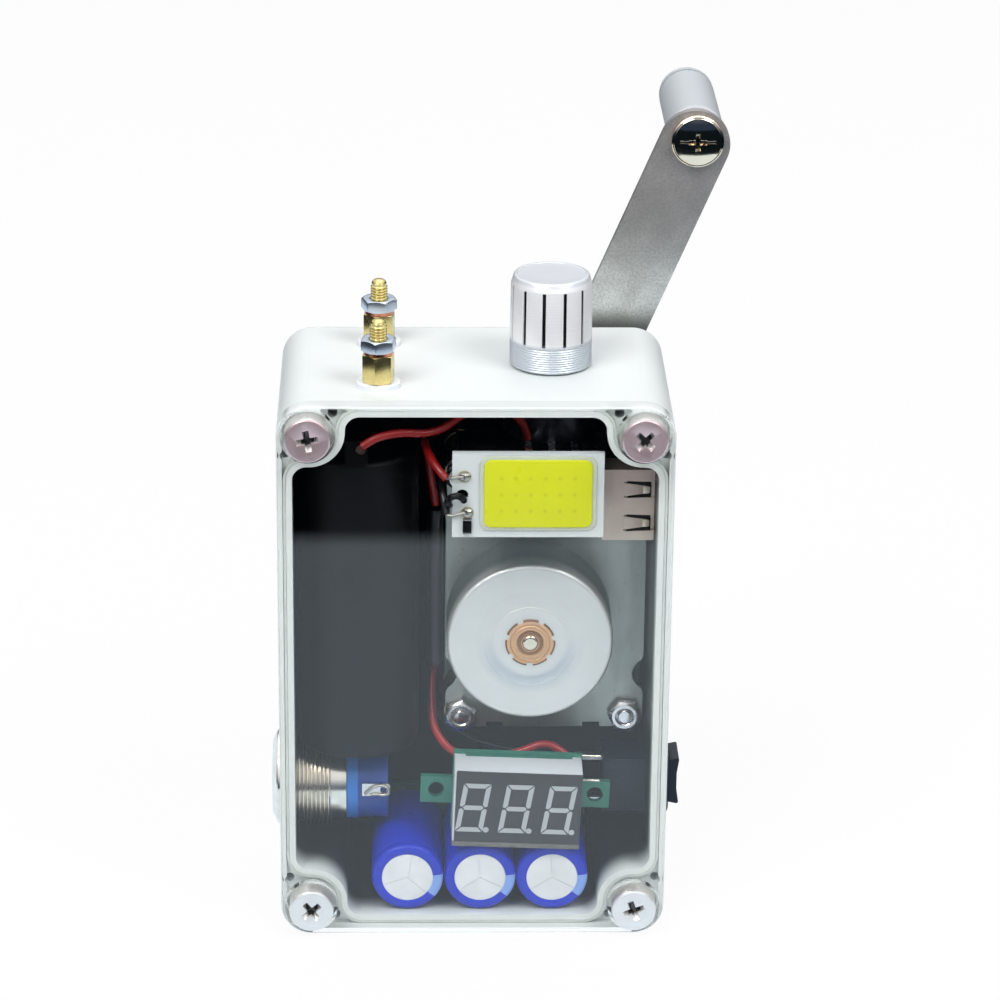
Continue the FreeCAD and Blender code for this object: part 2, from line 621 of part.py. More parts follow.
def insulating_sheet():
    """The black sheet on the back wall, notched round the screw columns."""
    sheet = lobed_block("sheet_blank", S.wall + S.sheet_gap, SHEET_FRONT, BACK_FACE)
    tools = []
    for tag, across, up in bolt_places():
        tools.append(cylinder("sheet_bolt_hole_" + tag, "Y", (across, SHEET_FRONT, up),
                              S.bolt_radius + S.running_gap, S.sheet_thickness))
    tools.append(cylinder("sheet_bearing_hole", "Y", (S.crank_x, SHEET_FRONT, S.crank_z),
                          S.bearing_radius + S.sheet_gap, S.sheet_thickness))
    return cut("insulating_sheet", sheet, *tools)


# Crank. Its pieces are made upright about the shaft's axis and then leaned to the right together.

CRANK_PLACE = (S.crank_x, 0, S.crank_z)


def leaned(thing):
    """Leans a crank piece about the shaft's axis."""
    return lean(thing, CRANK_PLACE, S.crank_lean)


def shaft_square(name):
    """The length of the shaft with two flats, which the arm sits on."""
    bar = cylinder(name + "_round", "Y", (0, S.arm_front, 0), S.shaft_radius, S.arm_thickness)
    flats = block(name + "_flats", (-S.shaft_flats / 2, S.arm_front, -S.shaft_radius),
                  (S.shaft_flats / 2, S.arm_front + S.arm_thickness, S.shaft_radius))
    return common(name, bar, flats)


def crank_shaft():
    """The shaft: a journal, the main length, a shoulder, two flats for the arm and a threaded end."""
    journal = cylinder("shaft_journal", "Y", (0, S.front_plate_y, 0), S.journal_radius, S.plate_thickness)
    main = cylinder("shaft_main", "Y", (0, FRONT_PLATE_BACK, 0), S.shaft_radius,
                    S.arm_front - FRONT_PLATE_BACK)
    shoulder = cylinder("shaft_shoulder", "Y", (0, S.collar_front, 0), S.collar_radius,
                        S.arm_front - S.collar_front)
    arm_back = S.arm_front + S.arm_thickness
    thread = cylinder("shaft_thread", "Y", (0, arm_back, 0), S.shaft_thread_radius, S.shaft_end - arm_back)
    return leaned(join("crank_shaft", journal, main, shoulder, shaft_square("shaft_seat"), thread))


def crank_arm():
    """The flat arm, rounded at both ends, with holes for the shaft's flats and for the grip's screw."""
    body = new_body("arm_strip_body")
    half = S.arm_width / 2
    strip = sketch_on(body, "XZ_Plane", "arm_strip")
    draw_polygon(strip, [(-half, 0), (half, 0), (half, S.crank_length), (-half, S.crank_length)])
    add_pad(body, "arm_pad", strip, S.arm_thickness)
    for end, height in (("low", 0), ("high", S.crank_length)):
        disc = sketch_on(body, "XZ_Plane", f"arm_{end}_disc")
        draw_circle(disc, (0, height), half)
        add_pad(body, f"arm_{end}_end", disc, S.arm_thickness)
    hole = sketch_on(body, "XZ_Plane", "arm_screw_hole")
    draw_circle(hole, (0, S.handle_reach), S.handle_shank_radius)
    add_pocket(body, "arm_drilled", hole)
    put(body, (0, S.arm_front + S.arm_thickness, 0))
    return leaned(cut("crank_arm", body, shaft_square("arm_seat")))


def crank_nuts():
    """The flanged nut on the shaft and the plain nut that locks the grip's screw."""
    arm_back = S.arm_front + S.arm_thickness
    hexagon = prism("shaft_nut_hexagon", "Y", (0, arm_back, 0), S.crank_nut_flats, S.crank_nut_length)
    flange = cylinder("shaft_nut_flange", "Y", (0, arm_back, 0), S.crank_nut_flange, S.plate_thickness)
    bore = cylinder("shaft_nut_bore", "Y", (0, arm_back, 0), S.shaft_thread_radius, S.crank_nut_length)
    shaft_nut = cut("shaft_nut", join("shaft_nut_blank", hexagon, flange), bore)
    lock_nut = nut("lock_nut", "Y", (0, arm_back, S.handle_reach), S.crank_nut_flats,
                   S.handle_shank_radius, S.handle_nut_length)
    return leaned(group("crank_nuts", shaft_nut, lock_nut))


def handle_screw():
    """The grip's screw: a flat head with a cross recess, and a long plain shank."""
    front = S.arm_front - S.handle_head_length
    head = cylinder("handle_head", "Y", (0, front, S.handle_reach), S.handle_head_radius,
                    S.handle_head_length)
    shank = cylinder("handle_shank", "Y", (0, front, S.handle_reach), S.handle_shank_radius,
                     S.handle_shank_end - front)
    recess = cross_recess("handle_cross", S.handle_cross / 2, S.handle_cross_width,
                          S.handle_head_length / 2)
    put(recess, (0, front, S.handle_reach))
    return leaned(cut("handle_screw", join("handle_screw_blank", head, shank), recess))


def on_handle(body, front):
    """Turns a body from Z to Y and puts it on the grip's screw."""
    tip_x = S.crank_x + S.handle_reach * math.sin(math.radians(S.crank_lean.value))
    tip_z = S.crank_z + S.handle_reach * math.cos(math.radians(S.crank_lean.value))
    return put(body, (tip_x, front, tip_z), ALONG["Y"])


def handle_grip():
    """The round grip that turns freely on its screw."""
    bore = S.handle_shank_radius + S.running_gap
    length = S.grip_back - S.grip_front
    body = turned_body("handle_grip", [(bore, 0), (S.grip_radius, 0), (S.grip_radius, length), (bore, length)])
    outside = S.grip_radius.value

    def at_rim(edge):
        return isinstance(edge.Curve, Part.Circle) and abs(edge.Curve.Radius - outside) < TINY
    round_body(body, "grip_rounded", S.grip_round, at_rim)
    return on_handle(body, S.grip_front)


def handle_end_cap():
    """The round cap screwed on the end of the grip's screw."""
    length = S.cap_back - S.cap_front
    hole = S.handle_shank_end - S.cap_front
    radius = S.cap_radius
    shank = S.handle_shank_radius
    body = turned_body("handle_end_cap", [(0, hole), (shank, hole), (shank, 0), (radius, 0), (radius, length),
                                          (0, length)])

    def at_rim(edge):
        return (isinstance(edge.Curve, Part.Circle) and abs(edge.Curve.Radius - radius.value) < TINY
                and edge.Vertexes[0].Point.z > length.value - TINY)
    round_body(body, "cap_rounded", S.cap_round, at_rim)
    return on_handle(body, S.cap_front)


def crank_bearing():
    """The flanged brass bush in the back wall."""
    barrel = cylinder("bearing_barrel", "Y", (S.crank_x, S.bearing_front, S.crank_z), S.bearing_radius,
                      BACK - S.bearing_front)
    flange = cylinder("bearing_flange", "Y", (S.crank_x, BACK, S.crank_z), S.bearing_flange_radius,
                      S.bearing_flange)
    bore = cylinder("bearing_bore", "Y", (S.crank_x, S.bearing_front, S.crank_z),
                    S.shaft_radius + S.running_gap, BACK + S.bearing_flange - S.bearing_front)
    return cut("crank_bearing", join("bearing_blank", barrel, flange), bore)


# Gearbox.

def involute(angle):
    """The involute function of an angle in radians."""
    return math.tan(angle) - angle


def wheel_outline(teeth, phase):
    """A wheel's outline in the XZ plane: slim, stubby involute teeth, the first centred on a phase."""
    module = number(S.gear_module)
    pressure = math.radians(number(S.pressure_angle))
    pitch = module * teeth / 2
    base = pitch * math.cos(pressure)
    tip = pitch + module * number(S.tooth_height)
    root = pitch - module * number(S.tooth_root)
    half_tooth = math.pi * module * number(S.tooth_share) / (2 * pitch)

    def half_angle(radius):
        slope = math.acos(min(1.0, base / radius))
        return half_tooth + involute(pressure) - involute(slope)

    flank = [root, max(base, root + TINY), pitch, (pitch + tip) / 2, tip]
    points = []
    for tooth in range(teeth):
        middle = phase + 2 * math.pi * tooth / teeth
        rising = [(radius, middle - half_angle(radius)) for radius in flank]
        falling = [(radius, middle + half_angle(radius)) for radius in reversed(flank)]
        points += [Vector(r * math.cos(a), 0, r * math.sin(a)) for r, a in rising + falling]
    return Part.makePolygon(points + points[:1])


def toothed(name, teeth, phase, place, width):
    """A toothed wheel, solid right through, from a place along Y."""
    wheel = doc.addObject("Part::Feature", name)
    face = Part.Face(wheel_outline(int(number(teeth)), phase))
    wheel.Shape = face.extrude(Vector(0, number(width), 0))
    wheel.Placement = Placement(Vector(*(number(size) for size in place)), Rotation())
    return wheel


def bearing_angle(start, end):
    """The direction from one centre to another in the XZ plane."""
    return math.atan2(number(end[1]) - number(start[1]), number(end[0]) - number(start[0]))


def meshed_phase(phase, teeth, direction, next_teeth):
    """The phase that puts the next wheel's gap on this wheel's tooth."""
    share = ((direction - phase) * teeth / (2 * math.pi)) % 1
    return direction + math.pi - (0.5 - share) * 2 * math.pi / next_teeth


CRANK_AXIS = (S.crank_x, S.crank_z)
IDLER_ONE_AXIS = (S.idler_one_x, S.idler_one_z)
IDLER_TWO_AXIS = (S.idler_two_x, S.idler_two_z)
ROTOR_AXIS = (S.rotor_x, S.rotor_z)
CRANK_TEETH = int(S.crank_teeth.value)
WHEEL_TEETH = int(S.wheel_teeth.value)
PINION_TEETH = int(S.pinion_teeth.value)
ROTOR_TEETH = int(S.rotor_teeth.value)
IDLER_ONE_PHASE = meshed_phase(0.0, CRANK_TEETH, bearing_angle(CRANK_AXIS, IDLER_ONE_AXIS), PINION_TEETH)
IDLER_TWO_PHASE = meshed_phase(IDLER_ONE_PHASE, WHEEL_TEETH, bearing_angle(IDLER_ONE_AXIS, IDLER_TWO_AXIS),
                               PINION_TEETH)
ROTOR_PHASE = meshed_phase(IDLER_TWO_PHASE, WHEEL_TEETH, bearing_angle(IDLER_TWO_AXIS, ROTOR_AXIS),
                           ROTOR_TEETH)


def crank_gear():
    """The large wheel that the crank shaft turns."""
    place = (S.crank_x, S.crank_gear_front, S.crank_z)
    wheel = toothed("crank_wheel", S.crank_teeth, 0.0, place, S.crank_gear_width)
    bore = cylinder("crank_wheel_bore", "Y", place, S.shaft_radius, S.crank_gear_width)
    return cut("crank_gear", wheel, bore)


def idler_gear(name, axis, phase, wheel_front, pinion_front, pinion_back):
    """A wheel and a pinion in one piece, on a hub that turns on its arbor."""
    across, up = axis
    wheel = toothed(name + "_wheel", S.wheel_teeth, phase, (across, wheel_front, up), S.wheel_width)
    pinion = toothed(name + "_pinion", S.pinion_teeth, phase, (across, pinion_front, up),
                     pinion_back - pinion_front)
    front = FRONT_PLATE_BACK + S.gear_play
    length = S.rear_plate_y - S.gear_play - front
    hub = cylinder(name + "_hub", "Y", (across, front, up), S.hub_radius, length)
    bore = cylinder(name + "_bore", "Y", (across, front, up), S.arbor_radius + S.running_gap, length)
    return cut(name, join(name + "_blank", wheel, pinion, hub), bore)


def idler_gear_1():
    """The first idler: its pinion meets the crank's wheel."""
    wheel_back = S.wheel_one_front + S.wheel_width
    return idler_gear("idler_gear_1", IDLER_ONE_AXIS, IDLER_ONE_PHASE, S.wheel_one_front, wheel_back,
                      S.crank_gear_front + S.crank_gear_width)


def idler_gear_2():
    """The second idler: its pinion meets the first idler's wheel."""
    return idler_gear("idler_gear_2", IDLER_TWO_AXIS, IDLER_TWO_PHASE, S.wheel_two_front,
                      S.pinion_two_front, S.pinion_two_back)


def idler_arbors():
    """The two fixed pins that the idlers turn on."""
    length = REAR_PLATE_BACK - S.front_plate_y
    pins = [
        cylinder(f"arbor_{tag}", "Y", (axis[0], S.front_plate_y, axis[1]), S.arbor_radius, length)
        for tag, axis in (("one", IDLER_ONE_AXIS), ("two", IDLER_TWO_AXIS))
    ]
    return group("idler_arbors", *pins)


def plate_holes():
    """The holes that both plates share."""
    holes = [(across, up, S.bolt_radius + S.running_gap) for tag, across, up in bolt_places()]
    holes += [(axis[0], axis[1], S.arbor_radius) for axis in (IDLER_ONE_AXIS, IDLER_TWO_AXIS)]
    return holes


def gear_plate(name, back, holes):
    """A gearbox plate with rounded corners, put with its rear face at a given depth."""
    plate = plate_body(name, (S.plate_left, S.plate_bottom), (S.plate_right, S.plate_top), S.plate_thickness,
                       plate_holes() + holes)
    round_body(plate, name + "_rounded", S.plate_round, runs_along(Y_AXIS))
    return put(plate, (0, back, 0))


def gear_plate_front():
    """The front plate, which carries the generator: notched at its sides and along its foot."""
    holes = [
        (S.crank_x, S.crank_z, S.journal_radius + S.running_gap),
        (S.rotor_x, S.rotor_z, S.rear_bush_radius),
        (S.plate_left + S.plate_notch_offset - S.plate_notch_radius / 2, S.plate_notch_z,
         S.plate_notch_radius),
        (S.plate_right - S.plate_notch_offset + S.plate_notch_radius / 2, S.plate_notch_z,
         S.plate_notch_radius),
    ]
    plate = gear_plate("gear_plate_front", FRONT_PLATE_BACK, holes)
    slots = sketch_on(plate, "XZ_Plane", "plate_foot_slots")
    for start in (S.slot_one, S.slot_two):
        draw_polygon(slots, [
            (start, S.plate_bottom - S.slot_depth), (start + S.slot_width, S.plate_bottom - S.slot_depth),
            (start + S.slot_width, S.plate_bottom + S.slot_depth), (start, S.plate_bottom + S.slot_depth),
        ])
    add_pocket(plate, "plate_slotted", slots)
    return plate


def gear_plate_rear():
    """The rear plate, round the crank's bush."""
    return gear_plate("gear_plate_rear", REAR_PLATE_BACK, [(S.crank_x, S.crank_z, S.bearing_radius)])


def gearbox_bolts():
    """The four bolts that clamp the gearbox to the back wall, with their nuts."""
    pieces = []
    for tag, across, up in bolt_places():
        head = cylinder("bolt_head_" + tag, "Y", (across, BACK, up), S.bolt_head_radius, S.bolt_head_length)
        shank = cylinder("bolt_shank_" + tag, "Y", (across, S.bolt_end, up), S.bolt_radius, BACK - S.bolt_end)
        recess = cross_recess("bolt_cross_" + tag, S.bolt_head_radius / 2, S.handle_cross_width,
                              S.bolt_head_length)
        put(recess, (across, BACK + S.bolt_head_length / 2, up))
        pieces.append(cut("bolt_" + tag, join("bolt_blank_" + tag, head, shank), recess))
        pieces.append(nut("bolt_nut_" + tag, "Y", (across, S.bolt_nut_front, up), S.bolt_nut_flats,
                          S.bolt_radius, S.front_plate_y - S.bolt_nut_front))
    return group("gearbox_bolts", *pieces)


def gearbox_spacers():
    """The tubes that hold the plates apart and off the back sheet."""
    tubes = []
    for tag, across, up in bolt_places():
        tubes.append(tube("spacer_long_" + tag, "Y", (across, FRONT_PLATE_BACK, up), S.spacer_radius,
                          S.bolt_radius, S.rear_plate_y - FRONT_PLATE_BACK))
        tubes.append(tube("spacer_short_" + tag, "Y", (across, REAR_PLATE_BACK, up), S.spacer_radius,
                          S.bolt_radius, SHEET_FRONT - REAR_PLATE_BACK))
    return group("gearbox_spacers", *tubes)


# Generator.

def generator_can():
    """The drawn can: a dished front with a bush hole, and an open back that meets the front plate."""
    wall = S.can_wall
    length = S.front_plate_y - S.can_front
    body = turned_body("generator_can", [
        (S.front_bush_radius, 0), (S.dish_inner, 0), (S.dish_inner, S.dish_depth),
        (S.dish_outer, S.dish_depth), (S.dish_outer, 0), (S.can_radius, 0), (S.can_radius, length),
        (S.can_radius - wall, length), (S.can_radius - wall, wall), (S.front_bush_radius, wall),
    ])

    def at_rim(edge):
        return (isinstance(edge.Curve, Part.Circle) and edge.Vertexes[0].Point.z < TINY
                and abs(edge.Curve.Radius - S.can_radius.value) < TINY)
    round_body(body, "can_rounded", S.can_round, at_rim)
    return put(body, (S.rotor_x, S.can_front, S.rotor_z), ALONG["Y"])


def tab_washer():
    """The thin bronze washer on the can's face, notched all round."""
    front = S.can_front - S.washer_thickness
    disc = tube("washer_disc", "Y", (S.rotor_x, front, S.rotor_z), S.washer_radius, S.front_bush_radius,
                S.washer_thickness)
    notches = []
    for tab in range(int(S.washer_tabs.value)):
        angle = 2 * math.pi * tab / S.washer_tabs.value
        notches.append(cylinder(f"washer_notch_{tab}", "Y",
                                (S.rotor_x + S.washer_radius * math.cos(angle), front,
                                 S.rotor_z + S.washer_radius * math.sin(angle)),
                                S.washer_notch, S.washer_thickness))
    return cut("tab_washer", disc, *notches)


def rotor_bushes():
    """The bush in the can's face and the bush in the front plate."""
    bore = S.rotor_radius + S.running_gap
    front_length = S.front_bush_back - S.front_bush_front
    front_barrel = cylinder("front_bush_barrel", "Y", (S.rotor_x, S.front_bush_front, S.rotor_z),
                            S.front_bush_radius, front_length)
    flange_front = S.can_front + S.can_wall
    front_flange = cylinder("front_bush_flange", "Y", (S.rotor_x, flange_front, S.rotor_z),
                            S.front_bush_flange, S.front_bush_back - flange_front)
    front_bore = cylinder("front_bush_bore", "Y", (S.rotor_x, S.front_bush_front, S.rotor_z), bore,
                          front_length)
    front_bush = cut("front_bush", join("front_bush_blank", front_barrel, front_flange), front_bore)
    rear_bush = tube("rear_bush", "Y", (S.rotor_x, S.rear_bush_front, S.rotor_z), S.rear_bush_radius, bore,
                     S.rear_bush_back - S.rear_bush_front)
    return group("rotor_bushes", front_bush, rear_bush)


def rotor_shaft():
    """The rotor's shaft, cut with a pinion and rounded at its front end."""
    bar = cylinder("rotor_bar", "Y", (S.rotor_x, S.rotor_front, S.rotor_z), S.rotor_radius,
                   S.rotor_back - S.rotor_front)
    domed = fillet("rotor_bar_domed", bar, S.rotor_round, lies_at(Y_AXIS, S.rotor_front))
    pinion = toothed("rotor_pinion", S.rotor_teeth, ROTOR_PHASE,
                     (S.rotor_x, S.rotor_pinion_front, S.rotor_z), S.rotor_pinion_width)
    return join("rotor_shaft", domed, pinion)


def rotor_magnet():
    """The ring magnet pressed on the shaft."""
    return tube("rotor_magnet", "Y", (S.rotor_x, S.magnet_front, S.rotor_z), S.magnet_radius, S.rotor_radius,
                S.magnet_back - S.magnet_front)


def stator_coils():
    """Two ring coils inside the can."""
    outer = S.can_radius - S.can_wall
    second = S.coil_front + S.coil_width + S.coil_gap
    front = tube("coil_front", "Y", (S.rotor_x, S.coil_front, S.rotor_z), outer, S.coil_inner, S.coil_width)
    rear = tube("coil_rear", "Y", (S.rotor_x, second, S.rotor_z), outer, S.coil_inner, S.coil_width)
    return group("stator_coils", front, rear)


# Light.

def led_board():
    """The light's aluminium board, with a wire hole near its left end."""
    low = (S.light_x - S.light_width / 2, S.light_z - S.light_height / 2)
    high = (S.light_x + S.light_width / 2, S.light_z + S.light_height / 2)
    board = plate_body("led_board", low, high, S.light_board,
                       [(S.light_hole_x, S.light_z, S.light_hole_radius)])
    return put(board, (0, LIGHT_BACK, 0))


def led_phosphor():
    """The emitting face: a raised block of yellow gel with rounded corners."""
    half_width = S.glow_width / 2
    half_height = S.glow_height / 2
    gel = block("glow_block", (S.glow_x - half_width, S.light_front - S.glow_thickness, S.glow_z - half_height),
                (S.glow_x + half_width, S.light_front, S.glow_z + half_height))
    return fillet("led_phosphor", gel, S.glow_round, runs_along(Y_AXIS))


def led_foam():
    """The black foam block that props the light's board behind the lid."""
    return block("led_foam", (S.foam_left, LIGHT_BACK, S.foam_bottom),
                 (S.foam_right, S.socket_back, S.foam_top))


# Socket.

def usb_shell():
    """The socket's folded metal shell, open to the right, with two spring tabs cut in its face."""
    wall = S.socket_wall
    outer = block("socket_outer", (S.socket_left, S.socket_front, S.socket_bottom),
                  (S.socket_right, S.socket_back, S.socket_top))
    inner = block("socket_inner", (S.socket_left + wall, S.socket_front + wall, S.socket_bottom + wall),
                  (S.socket_right, S.socket_back - wall, S.socket_top - wall))
    tabs = [
        block(f"socket_tab_{place}", (S.tab_left, S.socket_front, low),
              (S.tab_right, S.socket_front + wall, low + S.tab_height))
        for place, low in enumerate((S.tab_low, S.tab_high))
    ]
    return cut("usb_shell", outer, inner, *tabs)


def usb_tongue():
    """The insulator that carries the socket's contacts."""
    middle = (S.socket_bottom + S.socket_top) / 2
    back = S.socket_back - S.socket_wall - S.tongue_back
    start = S.socket_left + S.socket_wall
    return block("usb_tongue", (start, back - S.tongue_thickness, middle - S.tongue_height / 2),
                 (start + S.tongue_length, back, middle + S.tongue_height / 2))


def converter_board():
    """The converter's board behind the socket, with its choke."""
    board_back = S.socket_back + S.converter_board
    board = block("converter_blank", (S.converter_left, S.socket_back, S.converter_bottom),
                  (S.converter_right, board_back, S.socket_top))
    choke = block("choke_block", (S.choke_left, S.socket_back - S.choke_depth, S.converter_bottom),
                  (S.choke_left + S.choke_width, S.socket_back, S.converter_bottom + S.choke_height))
    return join("converter_board", board, fillet("choke", choke, S.choke_round, runs_along(Y_AXIS)))


# Voltmeter. Its pieces are made about the display's middle and then leaned together.

def meter_place(depth):
    """The meter's middle at a given depth."""
    return (S.meter_x, depth, S.meter_z)


def meter_display():
    """The display block."""
    half_width = S.meter_width / 2
    half_height = S.meter_height / 2
    body = block("meter_block", (-half_width, 0, -half_height), (half_width, S.meter_depth, half_height))
    return lean(group("meter_display", body), meter_place(S.meter_front), S.meter_lean)


def meter_board():
    """The display's board, with a drilled ear each side."""
    half_width = S.meter_board_width / 2
    half_height = S.meter_height / 2
    main = block("meter_board_main", (-half_width, 0, -half_height),
                 (half_width, S.meter_board, half_height + S.meter_board_rise))
    ears = block("meter_board_ears", (-S.ear_left, 0, -S.ear_height / 2),
                 (S.ear_right, S.meter_board, S.ear_height / 2))
    left = cylinder("ear_hole_l", "Y", (-S.ear_hole_left, 0, 0), S.ear_hole, S.meter_board)
    right = cylinder("ear_hole_r", "Y", (S.ear_hole_right, 0, 0), S.ear_hole, S.meter_board)
    board = cut("meter_board", join("meter_board_blank", main, ears), left, right)
    return lean(board, meter_place(METER_BACK), S.meter_lean)


# Stores of power.

def supercapacitors():
    """Three sleeved cans that lie side by side on the floor of the case."""
    cans = []
    for tag, across in (("left", S.store_left), ("middle", S.store_middle), ("right", S.store_right)):
        can = cylinder("store_can_" + tag, "Y", (across, S.store_front, S.store_z), S.store_radius,
                       S.store_back - S.store_front)
        cans.append(fillet("store_" + tag, can, S.store_round, lies_at(Y_AXIS, S.store_front)))
    return group("supercapacitors", *cans)


def capacitor_board():
    """The board across the backs of the three cans."""
    return block("capacitor_board", (S.store_board_left, S.store_back, S.store_board_bottom),
                 (S.store_board_right, S.store_back + S.store_board, S.store_board_top))


def battery_cell():
    """The sleeved cell that stands at the left."""
    length = S.cell_top - S.cell_bottom
    cap_top = length + S.cell_cap
    body = turned_body("battery_cell", [(0, 0), (S.cell_radius, 0), (S.cell_radius, length),
                                        (S.cell_cap_radius, length), (S.cell_cap_radius, cap_top),
                                        (0, cap_top)])

    def at_rim(edge):
        return isinstance(edge.Curve, Part.Circle) and abs(edge.Curve.Radius - S.cell_radius.value) < TINY
    round_body(body, "cell_rounded", S.cell_round, at_rim)
    return put(body, (S.cell_x, S.cell_y, S.cell_bottom))


def battery_tabs():
    """The nickel strip welded on the cell's top, bent up at its front for the wire."""
    left = S.cell_x - S.tab_width / 2
    right = S.cell_x + S.tab_width / 2
    base = S.cell_top + S.cell_cap
    front = S.cell_y - S.tab_reach
    flat = block("strip_flat", (left, front, base), (right, S.cell_y + S.tab_width / 2, base + S.tab_strip))
    riser = block("strip_riser", (left, front, base), (right, front + S.tab_strip, base + S.tab_rise))
    return join("battery_tabs", flat, riser)


def charger_module():
    """The sleeved charging board that stands between the cell and the gearbox."""
    board = block("charger_block", (S.charger_left, S.charger_front, S.charger_bottom),
                  (S.charger_left + S.charger_width, S.charger_front + S.charger_depth, S.charger_top))
    return fillet("charger_module", board, S.charger_round, runs_along(Z_AXIS))


# Push button.

def on_button(body, start):
    """Turns a body from Z to X and puts it on the button's axis."""
    return put(body, (start, S.button_y, S.button_z), ALONG["X"])


def button_barrel():
    """The button's metal barrel: a chamfered head, a thread through the wall and a plain neck."""
    bore = S.plunger_radius + S.running_gap
    flange = S.button_flange
    seat = S.button_head_length
    neck = seat + S.button_thread_length
    end = neck + S.button_neck_length
    body = turned_body("button_barrel", [
        (bore, 0), (S.button_face, 0), (S.button_head, flange), (S.button_head, seat), (S.button_thread, seat),
        (S.button_thread, neck), (S.button_neck, neck), (S.button_neck, end), (bore, end),
    ])
    return on_button(body, BUTTON_OUT)


def button_plunger():
    """The plunger that is pressed."""
    body = turned_body("button_plunger", [(0, 0), (S.plunger_radius, 0),
                                          (S.plunger_radius, S.plunger_length), (0, S.plunger_length)])
    return on_button(body, BUTTON_OUT)


def button_spring():
    """The plunger's return spring, at the length that it has when pressed."""
    start = BUTTON_OUT + S.plunger_length
    length = number(BUTTON_BACK - start - S.button_travel) - 2 * number(S.spring_wire) - number(S.gear_play)
    steps = int(number(S.spring_turns * S.spring_steps))
    first = number(start + S.spring_wire)
    route = []
    for step in range(steps + 1):
        angle = 2 * math.pi * step / number(S.spring_steps)
        route.append((
            first + length * step / steps,
            number(S.button_y) + number(S.spring_radius) * math.cos(angle),
            number(S.button_z) + number(S.spring_radius) * math.sin(angle),
        ))
    spring = doc.addObject("Part::Feature", "button_spring")
    spring.Shape = wire_tube("button_spring", number(S.spring_wire), route)
    return spring


def button_insert():
    """The blue contact carrier behind the barrel."""
    collar = cylinder("insert_collar", "X", (BUTTON_BACK, S.button_y, S.button_z), S.insert_collar,
                      S.insert_collar_length)
    carrier = cylinder("insert_carrier", "X", (BUTTON_BACK + S.insert_collar_length, S.button_y, S.button_z),
                       S.insert_radius, S.insert_length)
    return join("button_insert", collar, carrier)


# Rocker switch.

def rocker_housing():
    """The rocker's housing: a bezel outside the wall, a body inside it, and the paddle's well."""
    body = block("rocker_body",
                 (SIDE - S.rocker_depth, -S.rocker_width / 2, S.rocker_z - S.rocker_height / 2),
                 (SIDE, S.rocker_width / 2, S.rocker_z + S.rocker_height / 2))
    frame = block("rocker_bezel", (SIDE, -S.bezel_width / 2, S.rocker_z - S.bezel_height / 2),
                  (SIDE + S.bezel_depth, S.bezel_width / 2, S.rocker_z + S.bezel_height / 2))
    softened = fillet("rocker_bezel_soft", frame, S.bezel_round, lies_at(X_AXIS, SIDE + S.bezel_depth))
    half_width = S.paddle_width / 2 + S.paddle_gap
    well = block("rocker_well", (SIDE - S.well_depth, -half_width, S.rocker_z - S.paddle_well / 2),
                 (SIDE, half_width, S.rocker_z + S.paddle_well / 2))
    opening = block("rocker_opening", (SIDE, -half_width, S.rocker_z - S.bezel_opening / 2),
                    (SIDE + S.bezel_depth, half_width, S.rocker_z + S.bezel_opening / 2))
    pivot_half = S.rocker_width / 2 - S.paddle_gap
    pivot = cylinder("rocker_pivot_hole", "Y", (SIDE, -pivot_half, S.rocker_z),
                     S.pivot_radius + S.running_gap, pivot_half * 2)
    return cut("rocker_housing", join("rocker_blank", body, softened), well, opening, pivot)


def rocker_paddle():
    """The rocking paddle, hollowed a little across its face, with a pivot pin each side."""
    body = new_body("rocker_paddle")
    half = S.paddle_height / 2
    outline = sketch_on(body, "XZ_Plane", "paddle_outline")
    draw_polygon(outline, [
        (-S.paddle_depth, S.paddle_taper - half), (S.paddle_proud, -half),
        (S.paddle_proud - S.paddle_dip, -half / 3), (S.paddle_proud - S.paddle_dip, half / 3),
        (S.paddle_proud, half), (-S.paddle_depth, half - S.paddle_taper),
    ])
    add_pad(body, "paddle_pad", outline, S.paddle_width).Midplane = True
    pin = sketch_on(body, "XZ_Plane", "paddle_pin")
    draw_circle(pin, (0, 0), S.pivot_radius)
    add_pad(body, "paddle_pins", pin, S.pivot_length).Midplane = True
    round_body(body, "paddle_rounded", S.pivot_radius / 2, both(runs_along(Y_AXIS), past_wall))
    return put(body, (SIDE, 0, S.rocker_z))


def past_wall(edge):
    """A test for the edges of the paddle's face."""
    return edge.Vertexes[0].Point.x > S.paddle_proud.value - S.paddle_dip.value / 2


def solder_lugs():
    """The tags that wires are soldered to: on the button, the rocker and the regulator."""
    thick = S.tag_thickness
    half = S.tag_width / 2
    start = BUTTON_BACK + S.insert_collar_length + S.button_tag_start
    end = start + S.tag_length
    front = S.button_y - S.insert_collar
    height = S.button_z + S.button_tag_rise
    button_tag = block("button_tag", (start, front - thick, height - half), (end, front, height + half))
    rounded = fillet("button_tag_rounded", button_tag, half - S.tag_thickness,
                     both(runs_along(Y_AXIS), lies_at(X_AXIS, end)))
    button_eye = cylinder("button_tag_eye", "Y", (end - half, front - thick, height), half / 2, thick)
    pieces = [cut("button_lug", rounded, button_eye)]
    inside = SIDE - S.rocker_depth
    for tag, shift in (("low", -S.tag_spread), ("high", S.tag_spread)):
        height = S.rocker_z + shift
        pieces.append(block("rocker_tag_" + tag, (inside - S.tag_length, -half, height - thick / 2),
                            (inside, half, height + thick / 2)))
    for place in (-1, 0, 1):
        across = S.knob_x + S.tag_spread * place
        edge = S.knob_y - S.regulator_radius
        pieces.append(block(f"regulator_tag_{place + 1}",
                            (across - half / 2, edge - S.tag_length, S.regulator_bottom),
                            (across + half / 2, edge, S.regulator_bottom + thick)))
    return group("solder_lugs", *pieces)


# Regulator and knob.

